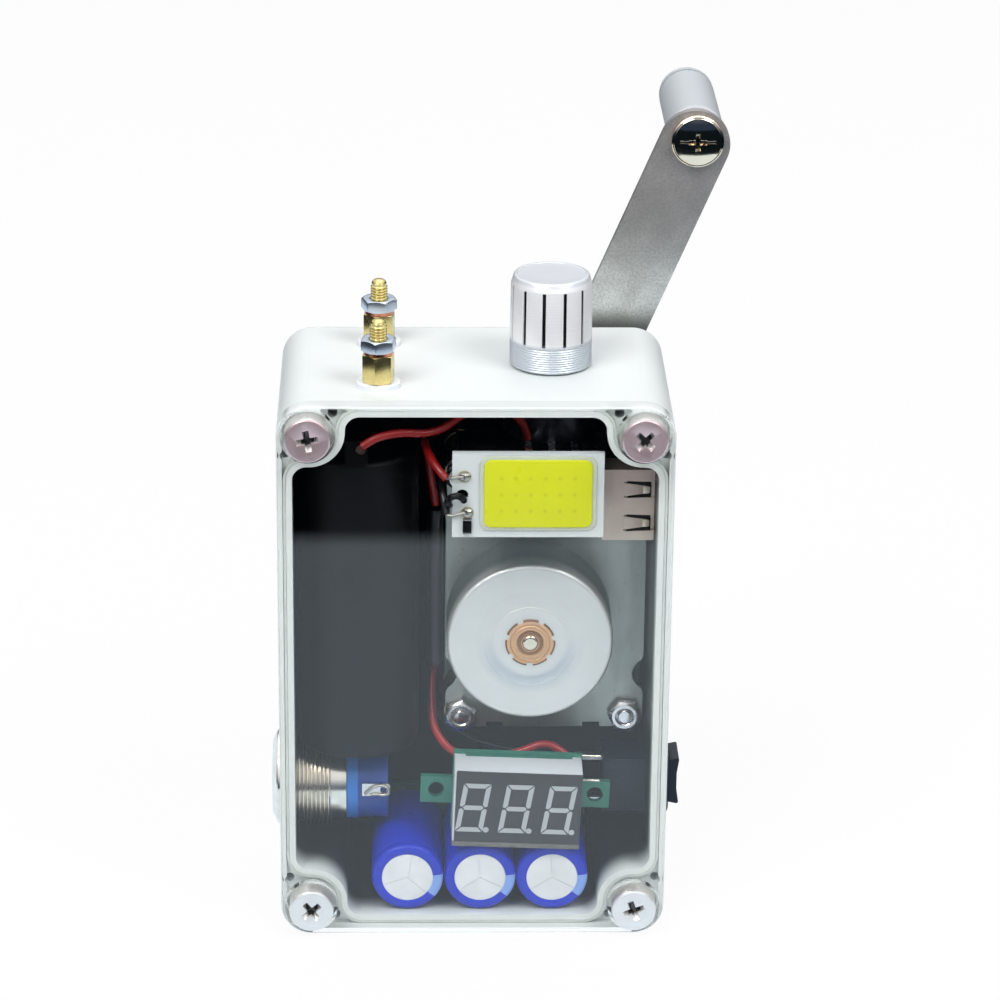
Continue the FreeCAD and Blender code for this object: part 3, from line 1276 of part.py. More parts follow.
def pot_body():
    """The regulator under the roof: a round body and a threaded bushing."""
    case_top = ROOF - S.regulator_step
    case = cylinder("regulator_case", "Z", (S.knob_x, S.knob_y, S.regulator_bottom), S.regulator_radius,
                    case_top - S.regulator_bottom)
    step = cylinder("regulator_step", "Z", (S.knob_x, S.knob_y, case_top), S.regulator_step_radius,
                    S.regulator_step)
    bushing = cylinder("regulator_bushing", "Z", (S.knob_x, S.knob_y, ROOF), S.bushing_radius,
                       S.bushing_top - ROOF)
    bore = cylinder("regulator_bore", "Z", (S.knob_x, S.knob_y, S.spindle_bottom - S.gear_play),
                    S.spindle_radius + S.running_gap, S.bushing_top - S.spindle_bottom + S.gear_play)
    return cut("pot_body", join("regulator_blank", case, step, bushing), bore)


def pot_nut():
    """The thin nut that holds the regulator to the roof."""
    return nut("pot_nut", "Z", (S.knob_x, S.knob_y, TOP), S.regulator_nut_flats, S.bushing_radius,
               S.regulator_nut_length)


def pot_shaft():
    """The regulator's spindle."""
    return cylinder("pot_shaft", "Z", (S.knob_x, S.knob_y, S.spindle_bottom), S.spindle_radius,
                    S.spindle_top - S.spindle_bottom)


def control_knob():
    """The turned knob, hollow at its foot, with twelve slots round its side."""
    base = S.knob_bottom
    hollow = S.knob_hollow_top - base
    bore_top = S.spindle_top - base
    body = turned_body("control_knob", [
        (S.spindle_radius, hollow), (S.knob_hollow, hollow), (S.knob_hollow, 0), (S.knob_radius, 0),
        (S.knob_shoulder_radius, S.knob_shoulder - base), (S.knob_top_radius, S.knob_top - base),
        (0, S.knob_top - base), (0, bore_top), (S.spindle_radius, bore_top),
    ])
    sketch = sketch_on(body, "XZ_Plane", "knob_slot_outline")
    low = S.knob_slot_bottom - base
    high = S.knob_shoulder - base
    half = S.knob_slot_width / 2
    draw_polygon(sketch, [(-half, low), (half, low), (half, high), (-half, high)])
    depth = S.knob_slot_depth
    start = S.knob_radius - depth
    sketch.AttachmentOffset = Placement(Vector(0, 0, number(start)), Rotation())
    sketch.setExpression("AttachmentOffset.Base.z", expression(start))
    slot = body.newObject("PartDesign::Pocket", "knob_slot")
    slot.Profile = sketch
    slot.Reversed = True
    bind(slot, Length=depth * 2)
    pattern = body.newObject("PartDesign::PolarPattern", "knob_slot_ring")
    pattern.Originals = [slot]
    axis = next(item for item in body.Origin.OriginFeatures if item.Role == "Z_Axis")
    pattern.Axis = (axis, [""])
    pattern.Angle = 360
    bind(pattern, Occurrences=S.knob_slots)
    body.Tip = pattern
    return put(body, (S.knob_x, S.knob_y, base), Rotation(Z_AXIS, S.knob_slot_turn.value))


# Terminals.

POSTS = (("front", S.post_front_y), ("rear", S.post_rear_y))


def terminal_studs():
    """The two brass screws that stand through the roof, each with a ring lug under it."""
    pieces = []
    lug_bottom = ROOF - S.lug_thickness
    head_bottom = lug_bottom - S.stud_head
    for tag, depth in POSTS:
        head = cylinder("stud_head_" + tag, "Z", (S.post_x, depth, head_bottom), S.stud_head_radius,
                        S.stud_head)
        shank = cylinder("stud_shank_" + tag, "Z", (S.post_x, depth, head_bottom), S.stud_radius,
                         STUD_STEP - head_bottom)
        end = cylinder("stud_end_" + tag, "Z", (S.post_x, depth, STUD_STEP), S.stud_end_radius,
                       S.stud_top - STUD_STEP)
        domed = fillet("stud_domed_" + tag, end, S.stud_end_radius / 2, lies_at(Z_AXIS, S.stud_top))
        ring = cylinder("lug_ring_" + tag, "Z", (S.post_x, depth, lug_bottom), S.lug_radius, S.lug_thickness)
        tail = block("lug_tail_" + tag, (S.post_x, depth - S.lug_width / 2, lug_bottom),
                     (S.post_x + S.lug_reach, depth + S.lug_width / 2, ROOF))
        pieces.append(join("stud_" + tag, head, shank, domed, ring, tail))
    return group("terminal_studs", *pieces)


def terminal_washers():
    """The pale insulating washers on the roof."""
    washers = [
        tube("post_washer_" + tag, "Z", (S.post_x, depth, TOP), S.post_washer_radius, S.stud_radius,
             S.post_washer)
        for tag, depth in POSTS
    ]
    return group("terminal_washers", *washers)


def terminal_bodies():
    """The hexagon brass standoffs that clamp the studs."""
    bodies = [
        nut("post_body_" + tag, "Z", (S.post_x, depth, STACK_ONE), S.post_body_flats, S.stud_radius,
            S.post_body_length, S.post_body_turn)
        for tag, depth in POSTS
    ]
    return group("terminal_bodies", *bodies)


def terminal_ring(tag, depth):
    """The loose copper ring that a wire is clamped under."""
    return tube("terminal_ring_" + tag, "Z", (S.post_x, depth, STACK_TWO), S.post_ring_radius, S.post_bore,
                S.post_ring)


def terminal_nut(tag, depth, turn):
    """The plated nut that is screwed down on the ring."""
    return nut("terminal_nut_" + tag, "Z", (S.post_x, depth, STACK_THREE), S.post_nut_flats, S.post_bore,
               S.post_nut, turn)


# Wires: straight runs joined by arcs that touch both runs.

def wire_path(points):
    """The path of a wire through its route's points, and the radii of its bends."""
    edges = []
    radii = []
    start = points[0]
    for before, corner, after in zip(points, points[1:], points[2:]):
        back = (before - corner).normalize()
        ahead = (after - corner).normalize()
        half_turn = (math.pi - back.getAngle(ahead)) / 2
        reach = BEND_SHARE * min((before - corner).Length, (after - corner).Length)
        radii.append(reach / math.tan(half_turn))
        bend_start = corner + back * reach
        bend_end = corner + ahead * reach
        inward = (back + ahead).normalize()
        middle = corner + inward * (radii[-1] / math.cos(half_turn) - radii[-1])
        edges.append(Part.LineSegment(start, bend_start).toShape())
        edges.append(Part.Arc(bend_start, middle, bend_end).toShape())
        start = bend_end
    edges.append(Part.LineSegment(start, points[-1]).toShape())
    return Part.Wire(edges), radii


def wire_tube(name, radius, route):
    """A wire's tube, with its bends and volume reported."""
    points = [Vector(*place) for place in route]
    path, radii = wire_path(points)
    circle = Part.makeCircle(radius, points[0], points[1] - points[0])
    solid = path.makePipeShell([Part.Wire(circle)], True, True)
    expected = math.pi * radius ** 2 * path.Length
    print(f"{name}: length {path.Length:.1f}, tightest bend {min(radii):.1f}, "
          f"volume {solid.Volume / expected:.3f} of section times length")
    return solid


def wires(name, routes):
    """All the wires of one colour."""
    solids = [
        wire_tube(f"{name} {tag}", number(getattr(S, size)), route)
        for tag, (size, route) in routes.items()
    ]
    bundle = doc.addObject("Part::Feature", name)
    bundle.Shape = Part.makeCompound(solids)
    return bundle


# The assembly: every sub-part's object, named as its file.

for make in (
    base_shell, clear_lid, lid_gasket, lid_screws, insulating_sheet,
    crank_shaft, crank_gear, crank_arm, crank_nuts, handle_screw, handle_grip, handle_end_cap,
    crank_bearing, gear_plate_front, gear_plate_rear, gearbox_bolts, gearbox_spacers,
    idler_gear_1, idler_gear_2, idler_arbors,
    generator_can, tab_washer, rotor_bushes, rotor_shaft, rotor_magnet, stator_coils,
    led_board, led_phosphor, led_foam, usb_shell, usb_tongue, converter_board,
    meter_display, meter_board, supercapacitors, capacitor_board, battery_cell, battery_tabs,
    charger_module, button_barrel, button_plunger, button_spring, button_insert,
    rocker_housing, rocker_paddle, solder_lugs, pot_body, pot_nut, pot_shaft, control_knob,
    terminal_studs, terminal_washers, terminal_bodies,
):
    nodes.append(make())
for tag, depth in POSTS:
    nodes.append(terminal_ring(tag, depth))
nodes.append(terminal_nut("front", S.post_front_y, S.post_nut_front_turn))
nodes.append(terminal_nut("rear", S.post_rear_y, S.post_nut_rear_turn))
nodes.append(wires("red_wires", RED_ROUTES))
nodes.append(wires("black_wires", BLACK_ROUTES))

doc.recompute()

for item in doc.Objects:
    if "Invalid" in item.State or "Error" in item.State:
        raise RuntimeError(f"{item.Name} did not build")
for node in nodes:
    if node.Shape.isNull() or not node.Shape.isValid() or not node.Shape.Solids:
        raise RuntimeError(f"{node.Label} has no valid solid")

os.makedirs("parts", exist_ok=True)
for node in nodes:
    node.Shape.exportStep(f"parts/{node.Label}.step")
print(f"{len(nodes)} sub-parts written")
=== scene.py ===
import json
import math

import bmesh
import bpy
from bpy.props import FloatProperty, FloatVectorProperty, IntProperty, PointerProperty
from mathutils import Matrix, Vector

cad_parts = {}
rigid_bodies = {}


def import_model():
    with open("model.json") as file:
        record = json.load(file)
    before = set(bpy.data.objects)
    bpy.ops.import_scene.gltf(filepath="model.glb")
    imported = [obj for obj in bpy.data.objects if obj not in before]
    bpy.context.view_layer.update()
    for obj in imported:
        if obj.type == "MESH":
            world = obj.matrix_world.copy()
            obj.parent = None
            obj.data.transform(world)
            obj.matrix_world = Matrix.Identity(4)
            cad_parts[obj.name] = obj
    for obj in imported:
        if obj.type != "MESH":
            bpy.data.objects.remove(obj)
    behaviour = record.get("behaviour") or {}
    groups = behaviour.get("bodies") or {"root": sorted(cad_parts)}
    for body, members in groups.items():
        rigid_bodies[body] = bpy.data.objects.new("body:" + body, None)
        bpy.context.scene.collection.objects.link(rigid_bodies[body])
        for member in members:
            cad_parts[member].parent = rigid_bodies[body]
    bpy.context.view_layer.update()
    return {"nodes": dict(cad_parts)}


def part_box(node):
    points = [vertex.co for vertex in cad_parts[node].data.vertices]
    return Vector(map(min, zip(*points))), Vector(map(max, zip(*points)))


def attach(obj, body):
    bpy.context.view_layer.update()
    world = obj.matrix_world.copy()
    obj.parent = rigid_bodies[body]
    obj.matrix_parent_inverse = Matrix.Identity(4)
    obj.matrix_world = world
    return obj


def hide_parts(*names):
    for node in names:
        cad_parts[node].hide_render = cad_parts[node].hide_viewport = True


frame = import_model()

bl_info = {
    "name": "Hand crank generator",
    "version": (1, 0, 0),
    "blender": (4, 5, 0),
    "location": "3D View > Sidebar > Generator",
    "description": "Finishes and fine pieces of a clear-fronted hand crank generator",
    "category": "Object",
}

# Lengths in this file are millimetres unless a name says otherwise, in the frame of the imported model:
# +X to the right as the clear lid is faced, +Y from the lid to the back, +Z up, from the middle of the base.
MM = 0.001

# Turns that bring a piece made along Z to another direction. "front" faces the lid's side.
TOWARDS = {
    "up": Matrix.Identity(4),
    "front": Matrix.Rotation(math.radians(90), 4, "X"),
    "back": Matrix.Rotation(math.radians(-90), 4, "X"),
    "left": Matrix.Rotation(math.radians(-90), 4, "Y"),
    "right": Matrix.Rotation(math.radians(90), 4, "Y"),
}


# ---------------------------------------------------------------- settings

def srgb(red, green, blue):
    """A linear colour from the levels, 0 to 255, that a screen shows."""
    levels = (red / 255, green / 255, blue / 255)
    return tuple(((level + 0.055) / 1.055) ** 2.4 if level > 0.04 else level / 12.92 for level in levels)


def colour(name, description, *levels):
    """A colour setting."""
    return FloatVectorProperty(name=name, description=description, subtype="COLOR", size=3, min=0, max=1,
                               default=srgb(*levels))


def length(name, description, millimetres):
    """A length setting, given in millimetres and kept in metres."""
    return FloatProperty(name=name, description=description, subtype="DISTANCE", unit="LENGTH", min=0,
                         precision=5, default=millimetres * MM)


def number_of(name, description, count):
    """A count setting."""
    return IntProperty(name=name, description=description, min=1, default=count)


class PlasticColours(bpy.types.PropertyGroup):
    """Colours of moulded, printed and sleeved pieces."""
    case: colour("Case", "Moulded base of the case", 222, 226, 225)
    grip: colour("Grip", "Round grip of the crank", 190, 194, 198)
    # The near-black sheet inside the case is painted shade: it stands in for the shade there. The light's
    # foam shares the colour.
    shade_sheet_and_foam: colour("Shade sheet and foam", "Sheet and foam that line the case", 4, 5, 6)
    seal: colour("Seal", "Cord in the rim's groove", 206, 211, 207)
    cell: colour("Cell", "Shrink sleeve of the cell", 5, 6, 8)
    charger: colour("Charger", "Shrink sleeve of the charging board", 17, 17, 19)
    store: colour("Store", "Sleeve of a supercapacitor", 18, 46, 190)
    carrier: colour("Carrier", "Contact carrier of the push button", 28, 72, 160)
    rocker: colour("Rocker", "Rocker switch", 18, 28, 42)
    washer: colour("Washer", "Insulating washers of the terminals", 236, 240, 248)
    red_wire: colour("Red wire", "Red hook-up wire", 168, 16, 18)
    black_wire: colour("Black wire", "Black hook-up wire", 14, 14, 16)


class MetalColours(bpy.types.PropertyGroup):
    """Colours of bare and plated metal."""
    plating: colour("Plating", "Nickel on screws, nuts and tags", 238, 234, 234)
    arm: colour("Arm", "Rolled steel of the crank arm", 192, 190, 187)
    polished: colour("Polished steel", "Grip's screw and the rotor shaft", 238, 224, 202)
    plate: colour("Plate", "Gearbox plates", 180, 182, 176)
    can: colour("Can", "Drawn can of the generator", 236, 236, 234)
    socket: colour("Socket", "Folded shell of the socket", 226, 204, 196)
    brass: colour("Brass", "Studs and standoffs of the terminals", 232, 214, 146)
    copper: colour("Copper", "Loose rings and the coils", 222, 150, 122)
    bronze: colour("Bronze", "Notched washer and bushes", 230, 182, 140)
    aluminium: colour("Aluminium", "Turned control knob", 246, 246, 248)
    solder: colour("Solder", "Solder on pads and tags", 196, 192, 184)


class BoardColours(bpy.types.PropertyGroup):
    """Colours of the boards, the light and the display."""
    light_board: colour("Light board", "White board of the light", 214, 219, 222)
    gel: colour("Gel", "Yellow emitting face", 216, 220, 24)
    display_face: colour("Display face", "Tinted window of the display", 54, 54, 57)
    display_body: colour("Display body", "Moulded block of the display", 205, 210, 216)
    segment: colour("Segment", "Unlit segments", 172, 177, 182)
    meter_board: colour("Meter board", "Solder mask of the meter's board", 44, 122, 104)
    green_board: colour("Green board", "Solder mask of the other boards", 22, 74, 52)


class FineSizes(bpy.types.PropertyGroup):
    """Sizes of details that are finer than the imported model."""
    knob_slots: number_of("Knob slots", "Slots round the knob", 12)
    knob_groove: length("Knob groove", "Pitch of the turned grooves at the knob's foot", 0.42)
    post_pitch: length("Stud pitch", "Pitch of the terminal studs' thread", 0.5)
    button_pitch: length("Button pitch", "Pitch of the push button's thread", 0.75)
    digit_height: length("Digit height", "Height of a digit on the display", 9.4)
    digit_width: length("Digit width", "Width of a digit on the display", 4.9)
    digit_pitch: length("Digit pitch", "Distance from digit to digit", 7.6)
    segment_width: length("Segment width", "Thickness of a segment", 0.87)
    score_width: length("Score width", "Width of the scored lines on a supercapacitor's vent", 0.1)


def settings(kind):
    """The scene's settings of one kind: plastic, metal, board or fine."""
    return getattr(bpy.context.scene, "generator_" + kind)


# ---------------------------------------------------------------- modelling

def clear_selection():
    """Leaves edit mode and deselects everything."""
    if bpy.context.object is not None and bpy.context.object.mode == "EDIT":
        bpy.ops.object.mode_set(mode="OBJECT")
    bpy.ops.object.select_all(action="DESELECT")


def pick(piece):
    """Makes a piece the only selected object and the active one."""
    clear_selection()
    piece.select_set(True)
    bpy.context.view_layer.objects.active = piece


def in_metres(place):
    """A place in metres from one in millimetres."""
    return Vector(place) * MM


def turned(name, profile, steps=48):
    """A piece turned about Z: a disc, extruded and scaled through a profile of (radius, height)."""
    clear_selection()
    radius, height = profile[0]
    bpy.ops.mesh.primitive_circle_add(vertices=steps, radius=radius * MM, fill_type="NGON",
                                      location=(0, 0, height * MM))
    piece = bpy.context.object
    piece.name = name
    bpy.ops.object.transform_apply(location=True, rotation=True, scale=True)
    bpy.ops.object.mode_set(mode="EDIT")
    bpy.ops.mesh.select_all(action="SELECT")
    for next_radius, next_height in profile[1:]:
        rise = (next_height - height) * MM
        bpy.ops.mesh.extrude_region_move(TRANSFORM_OT_translate={"value": (0, 0, rise)})
        factor = next_radius / radius
        bpy.ops.transform.resize(value=(factor, factor, 1), center_override=(0, 0, next_height * MM))
        radius, height = next_radius, next_height
    return closed(piece)


def closed(piece):
    """Turns all the faces of a piece outwards and leaves edit mode."""
    bpy.ops.mesh.select_all(action="SELECT")
    bpy.ops.mesh.normals_make_consistent(inside=False)
    bpy.ops.object.mode_set(mode="OBJECT")
    return piece


def block(name, low, high):
    """A block between two corners, in edit mode with all of it selected."""
    clear_selection()
    bpy.ops.mesh.primitive_cube_add(size=MM)
    piece = bpy.context.object
    piece.name = name
    bpy.ops.object.mode_set(mode="EDIT")
    size = Vector(high) - Vector(low)
    middle = (Vector(high) + Vector(low)) / 2
    bpy.ops.transform.resize(value=size, center_override=(0, 0, 0))
    bpy.ops.transform.translate(value=middle * MM)
    return piece


def select_faces(piece, wanted):
    """Selects only the faces of a piece in edit mode whose centre (in mm) and normal pass a test."""
    bpy.ops.mesh.select_mode(type="FACE")
    bpy.ops.mesh.select_all(action="DESELECT")
    mesh = bmesh.from_edit_mesh(piece.data)
    for face in mesh.faces:
        face.select_set(bool(wanted(face.calc_center_median() / MM, face.normal)))
    bmesh.update_edit_mesh(piece.data)


def polygon(name, outline, thickness):
    """A flat piece: an outline of (x, y) points, filled and extruded up."""
    clear_selection()
    bpy.ops.mesh.primitive_circle_add(vertices=len(outline), radius=MM, fill_type="NGON")
    piece = bpy.context.object
    piece.name = name
    bpy.ops.object.mode_set(mode="EDIT")
    mesh = bmesh.from_edit_mesh(piece.data)
    mesh.verts.ensure_lookup_table()
    for corner, (across, up) in zip(mesh.verts, outline):
        corner.co = (across * MM, up * MM, 0)
    bmesh.update_edit_mesh(piece.data)
    bpy.ops.mesh.select_all(action="SELECT")
    bpy.ops.mesh.extrude_region_move(TRANSFORM_OT_translate={"value": (0, 0, thickness * MM)})
    return closed(piece)


def round_outline(wide, tall, corner, steps=6):
    """The outline of a rectangle with round corners, round the origin."""
    points = []
    for quarter, (side, level) in enumerate(((1, 1), (-1, 1), (-1, -1), (1, -1))):
        for step in range(steps + 1):
            turn = math.radians(90 * (quarter + step / steps))
            points.append((side * (wide / 2 - corner) + corner * math.cos(turn),
                           level * (tall / 2 - corner) + corner * math.sin(turn)))
    return points


def add_modifier(piece, kind, **values):
    """Adds a modifier, sets it and applies it."""
    pick(piece)
    modifier = piece.modifiers.new(kind.lower(), kind)
    for name, value in values.items():
        setattr(modifier, name, value)
    bpy.ops.object.modifier_apply(modifier=modifier.name)
    return piece


def bevelled(piece, width, segments=2, degrees=30):
    """Breaks the edges that are sharper than an angle."""
    return add_modifier(piece, "BEVEL", width=width * MM, segments=segments, limit_method="ANGLE",
                        angle_limit=math.radians(degrees), use_clamp_overlap=True)


def carved(piece, cutter, operation="DIFFERENCE"):
    """Combines a piece with a cutter, which is used up."""
    add_modifier(piece, "BOOLEAN", operation=operation, object=cutter, solver="EXACT")
    bpy.data.objects.remove(cutter)
    return piece


def smooth(piece, degrees=32):
    """Shades a piece smooth, with its sharp edges kept."""
    pick(piece)
    bpy.ops.object.shade_smooth_by_angle(angle=math.radians(degrees))
    return piece


def joined(name, pieces):
    """One object from several."""
    pick(pieces[0])
    for piece in pieces[1:]:
        piece.select_set(True)
    bpy.ops.object.join()
    whole = bpy.context.object
    whole.name = name
    return whole


def moved(piece, place=(0, 0, 0), towards="up", turn=0.0, lean=0.0):
    """Turns a piece about its own axis, faces it a way, leans it to the right and puts it in its place."""
    piece.matrix_world = (
        Matrix.Translation(in_metres(place))
        @ Matrix.Rotation(math.radians(lean), 4, "Y")
        @ TOWARDS[towards]
        @ Matrix.Rotation(math.radians(turn), 4, "Z")
    )
    pick(piece)
    bpy.ops.object.transform_apply(location=True, rotation=True, scale=True)
    return piece


def copy_of(piece, name):
    """A copy with its own mesh."""
    twin = piece.copy()
    twin.data = piece.data.copy()
    twin.name = name
    bpy.context.scene.collection.objects.link(twin)
    return twin


def cross_cutter(name, reach, half_width, depth, foot=0.45):
    """A tapered cross that cuts a driver's recess down from Z 0."""
    piece = block(name, (-half_width, -half_width, -depth), (half_width, half_width, depth))
    select_faces(piece, lambda centre, normal: abs(normal.z) < 0.5)
    bpy.ops.mesh.extrude_faces_move(TRANSFORM_OT_shrink_fatten={"value": (reach - half_width) * MM})
    select_faces(piece, lambda centre, normal: normal.z < -0.5)
    bpy.ops.transform.resize(value=(foot, foot, 1), center_override=(0, 0, -depth * MM))
    return closed(piece)


def hexagon_nut(name, flats, thickness, bore, pitch=0.5, steps=48, face=0.97):
    """A hexagon nut with coned corners and a threaded bore, standing on Z 0.

    The face is the round flat that the cones leave, as a share of the width across the flats.
    """
    corner = flats / math.sqrt(3)
    clear_selection()
    bpy.ops.mesh.primitive_cylinder_add(vertices=6, radius=corner * MM, depth=thickness * MM,
                                        location=(0, 0, thickness / 2 * MM))
    nut = bpy.context.object
    nut.name = name
    bpy.ops.object.transform_apply(location=True, rotation=True, scale=True)
    drop = (corner - flats / 2 * face) * math.tan(math.radians(30))
    barrel = turned("nut_barrel", [(flats / 2 * face, -0.001), (corner, drop), (corner, thickness - drop),
                                   (flats / 2 * face, thickness + 0.001)], steps)
    carved(nut, barrel, "INTERSECT")
    rings = [(bore + pitch / 2, -0.01), (bore, pitch / 2)]
    height = pitch / 2
    while height + pitch < thickness:
        rings += [(bore + pitch / 4, height + pitch / 2), (bore, height + pitch)]
        height += pitch
    rings += [(bore, thickness - pitch / 2), (bore + pitch / 2, thickness + 0.01)]
    return carved(nut, turned("nut_bore", rings, steps))


def threaded(start, end, crest, root, pitch):
    """The profile of a thread between two heights, as rings."""
    rings = []
    height = start
    while height + pitch <= end:
        rings += [(root, height), (crest, height + pitch * 0.4), (crest, height + pitch * 0.6)]
        height += pitch
    return rings + [(root, height)]


def solder_blob(name, width, height, rise):
    """A lump of solder: a ball, flattened and dented."""
    clear_selection()
    bpy.ops.mesh.primitive_ico_sphere_add(subdivisions=4, radius=MM)
    piece = bpy.context.object
    piece.name = name
    bpy.ops.object.mode_set(mode="EDIT")
    bpy.ops.mesh.select_all(action="SELECT")
    bpy.ops.transform.resize(value=(width / 2, height / 2, rise), center_override=(0, 0, 0))
    bpy.ops.object.mode_set(mode="OBJECT")
    dents = bpy.data.textures.new(name + "_dents", "CLOUDS")
    dents.noise_scale = 0.7 * MM
    add_modifier(piece, "DISPLACE", texture=dents, strength=0.3 * MM, mid_level=0.5,
                 texture_coords="LOCAL")
    return smooth(piece, 60)


def tube_along(name, points, radius):
    """A smooth round wire through control points, as a mesh with closed ends."""
    curve = bpy.data.curves.new(name, "CURVE")
    curve.dimensions = "3D"
    curve.bevel_depth = radius * MM
    curve.bevel_resolution = 5
    curve.resolution_u = 8
    curve.use_fill_caps = True
    line = curve.splines.new("NURBS")
    line.points.add(len(points) - 1)
    for control, place in zip(line.points, points):
        control.co = (*in_metres(place), 1)
    line.order_u = 3
    line.use_endpoint_u = True
    piece = bpy.data.objects.new(name, curve)
    bpy.context.scene.collection.objects.link(piece)
    pick(piece)
    bpy.ops.object.convert(target="MESH")
    return smooth(bpy.context.object, 50)


def place_on(piece, body, slot, material, *replaced):
    """Gives a piece its finish, attaches it to the body that it rides on and hides the CAD parts that it
    replaces.
    """
    piece.data.materials.clear()
    piece.data.materials.append(material)
    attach(piece, body)
    if replaced:
        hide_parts(*replaced)


def paint(material, *nodes):
    """Gives CAD nodes a finish."""
    for node in nodes:
        for slot in frame["nodes"][node].material_slots:
            slot.material = material


# ---------------------------------------------------------------- nodes

def fill(tree, socket, value):
    """Links a node's input to another socket, or sets its value."""
    if isinstance(value, bpy.types.NodeSocket):
        tree.links.new(value, socket)
    else:
        socket.default_value = value


def add_node(tree, kind, inputs=None, **values):
    """Adds a node, sets its values and fills its inputs, by name or by number."""
    made = tree.nodes.new(kind)
    for name, value in values.items():
        setattr(made, name, value)
    for name, value in (inputs or {}).items():
        fill(tree, made.inputs[name], value)
    return made


def maths(tree, operation, *values):
    """A maths node's result."""
    return add_node(tree, "ShaderNodeMath", dict(enumerate(values)), operation=operation).outputs[0]


def vector_maths(tree, operation, *values, output="Vector"):
    """A vector maths node's result."""
    made = add_node(tree, "ShaderNodeVectorMath", dict(enumerate(values)), operation=operation)
    return made.outputs[output]


def product(tree, first, *others):
    """The product of two or more values."""
    for other in others:
        first = maths(tree, "MULTIPLY", first, other)
    return first


def ramp(tree, value, start=0.0, end=1.0, low=0.0, high=1.0, eased=True):
    """A value carried from one range to another and kept within it, eased at both ends or straight."""
    return add_node(tree, "ShaderNodeMapRange", {
        "Value": value, "From Min": start, "From Max": end, "To Min": low, "To Max": high},
        interpolation_type="SMOOTHSTEP" if eased else "LINEAR").outputs["Result"]


def noise(tree, vector, scale, detail, roughness=0.5):
    """Cloudy noise."""
    return add_node(tree, "ShaderNodeTexNoise", {
        "Vector": vector, "Scale": scale, "Detail": detail, "Roughness": roughness}).outputs["Fac"]


def split(tree, vector):
    """The X, Y and Z of a vector."""
    return add_node(tree, "ShaderNodeSeparateXYZ", {"Vector": vector}).outputs


def object_place(tree):
    """Object coordinates, which are in metres."""
    return add_node(tree, "ShaderNodeTexCoord").outputs["Object"]


def place_from(tree, centre):
    """Object coordinates measured from a centre, which is given in mm."""
    return vector_maths(tree, "SUBTRACT", object_place(tree), in_metres(centre))


def reach_of(tree, across, up):
    """The distance from an axis, from the distances along two directions."""
    squares = [maths(tree, "MULTIPLY", side, side) for side in (across, up)]
    return maths(tree, "SQRT", maths(tree, "ADD", *squares))


def round_y(tree, centre):
    """Object coordinates square to an axis along Y, and their length."""
    flat = vector_maths(tree, "MULTIPLY", place_from(tree, centre), (1, 0, 1))
    return flat, vector_maths(tree, "LENGTH", flat, output="Value")


def mix_shaders(tree, factor, first, second):
    """A shader between two, by a factor."""
    return add_node(tree, "ShaderNodeMixShader", {"Fac": factor, 1: first, 2: second}).outputs["Shader"]


def blend_colours(tree, factor, first, second):
    """A colour between two, by a factor."""
    mix = add_node(tree, "ShaderNodeMix", data_type="RGBA")
    fill(tree, mix.inputs["Factor"], factor)
    colours = [socket for socket in mix.inputs if socket.type == "RGBA"]
    for socket, value in zip(colours, (first, second)):
        fill(tree, socket, value if isinstance(value, bpy.types.NodeSocket) else (*value, 1))
    return next(socket for socket in mix.outputs if socket.type == "RGBA")


# ---------------------------------------------------------------- surface effects

def mottled_surface(tree, given):
    """Cloudy variation with a fine grain over it, as on moulded plastic and plating."""
    cloud = noise(tree, given["Vector"], given["Scale"], 4.0, 0.55)
    grain = noise(tree, given["Vector"], given["Grain"], 2.0, 0.6)
    return ramp(tree, cloud, 0.3, 0.7, eased=False), grain


def brushed_surface(tree, given):
    """Fine scratches in one direction, as on rolled and ground metal."""
    drawn_out = vector_maths(tree, "MULTIPLY", given["Vector"], given["Stretch"])
    lines = noise(tree, drawn_out, given["Scale"], 5.0, 0.7)
    blotch = noise(tree, given["Vector"], 160.0, 3.0)
    mixed = maths(tree, "ADD", product(tree, lines, 0.6), product(tree, blotch, 0.4))
    return ramp(tree, mixed, 0.32, 0.68, eased=False), lines


def turned_surface(tree, given):
    """Rings about the local Z axis, as a lathe leaves them."""
    parts = split(tree, given["Vector"])
    travel = maths(tree, "ADD", reach_of(tree, parts["X"], parts["Y"]), parts["Z"])
    rings = maths(tree, "DIVIDE", travel, given["Pitch"])
    uneven = add_node(tree, "ShaderNodeTexNoise", {"W": rings, "Scale": 1.0, "Detail": 3.0},
                      noise_dimensions="1D").outputs["Fac"]
    cloud = noise(tree, given["Vector"], 220.0, 3.0)
    rest = maths(tree, "SUBTRACT", 1.0, given["Wander"])
    mixed = maths(tree, "ADD", product(tree, cloud, given["Wander"]), product(tree, uneven, rest))
    return ramp(tree, mixed, 0.3, 0.7, eased=False), uneven


def specks_mask(tree, given):
    """Sparse specks of dust and small marks."""
    cells = add_node(tree, "ShaderNodeTexVoronoi", {"Vector": given["Vector"], "Scale": given["Scale"]})
    patch = noise(tree, given["Vector"], 90.0, 2.0)
    reach = product(tree, given["Amount"], product(tree, patch, 2.0))
    return (maths(tree, "LESS_THAN", cells.outputs["Distance"], reach),)


def recess_shade_mask(tree, given):
    """Where painted shade goes in a hollow: inside a radius about the local Z axis, between two heights."""
    parts = split(tree, given["Vector"])
    near = maths(tree, "LESS_THAN", reach_of(tree, parts["X"], parts["Y"]), given["Radius"])
    above = maths(tree, "GREATER_THAN", parts["Z"], given["Low"])
    below = maths(tree, "LESS_THAN", parts["Z"], given["High"])
    return (product(tree, near, above, below),)


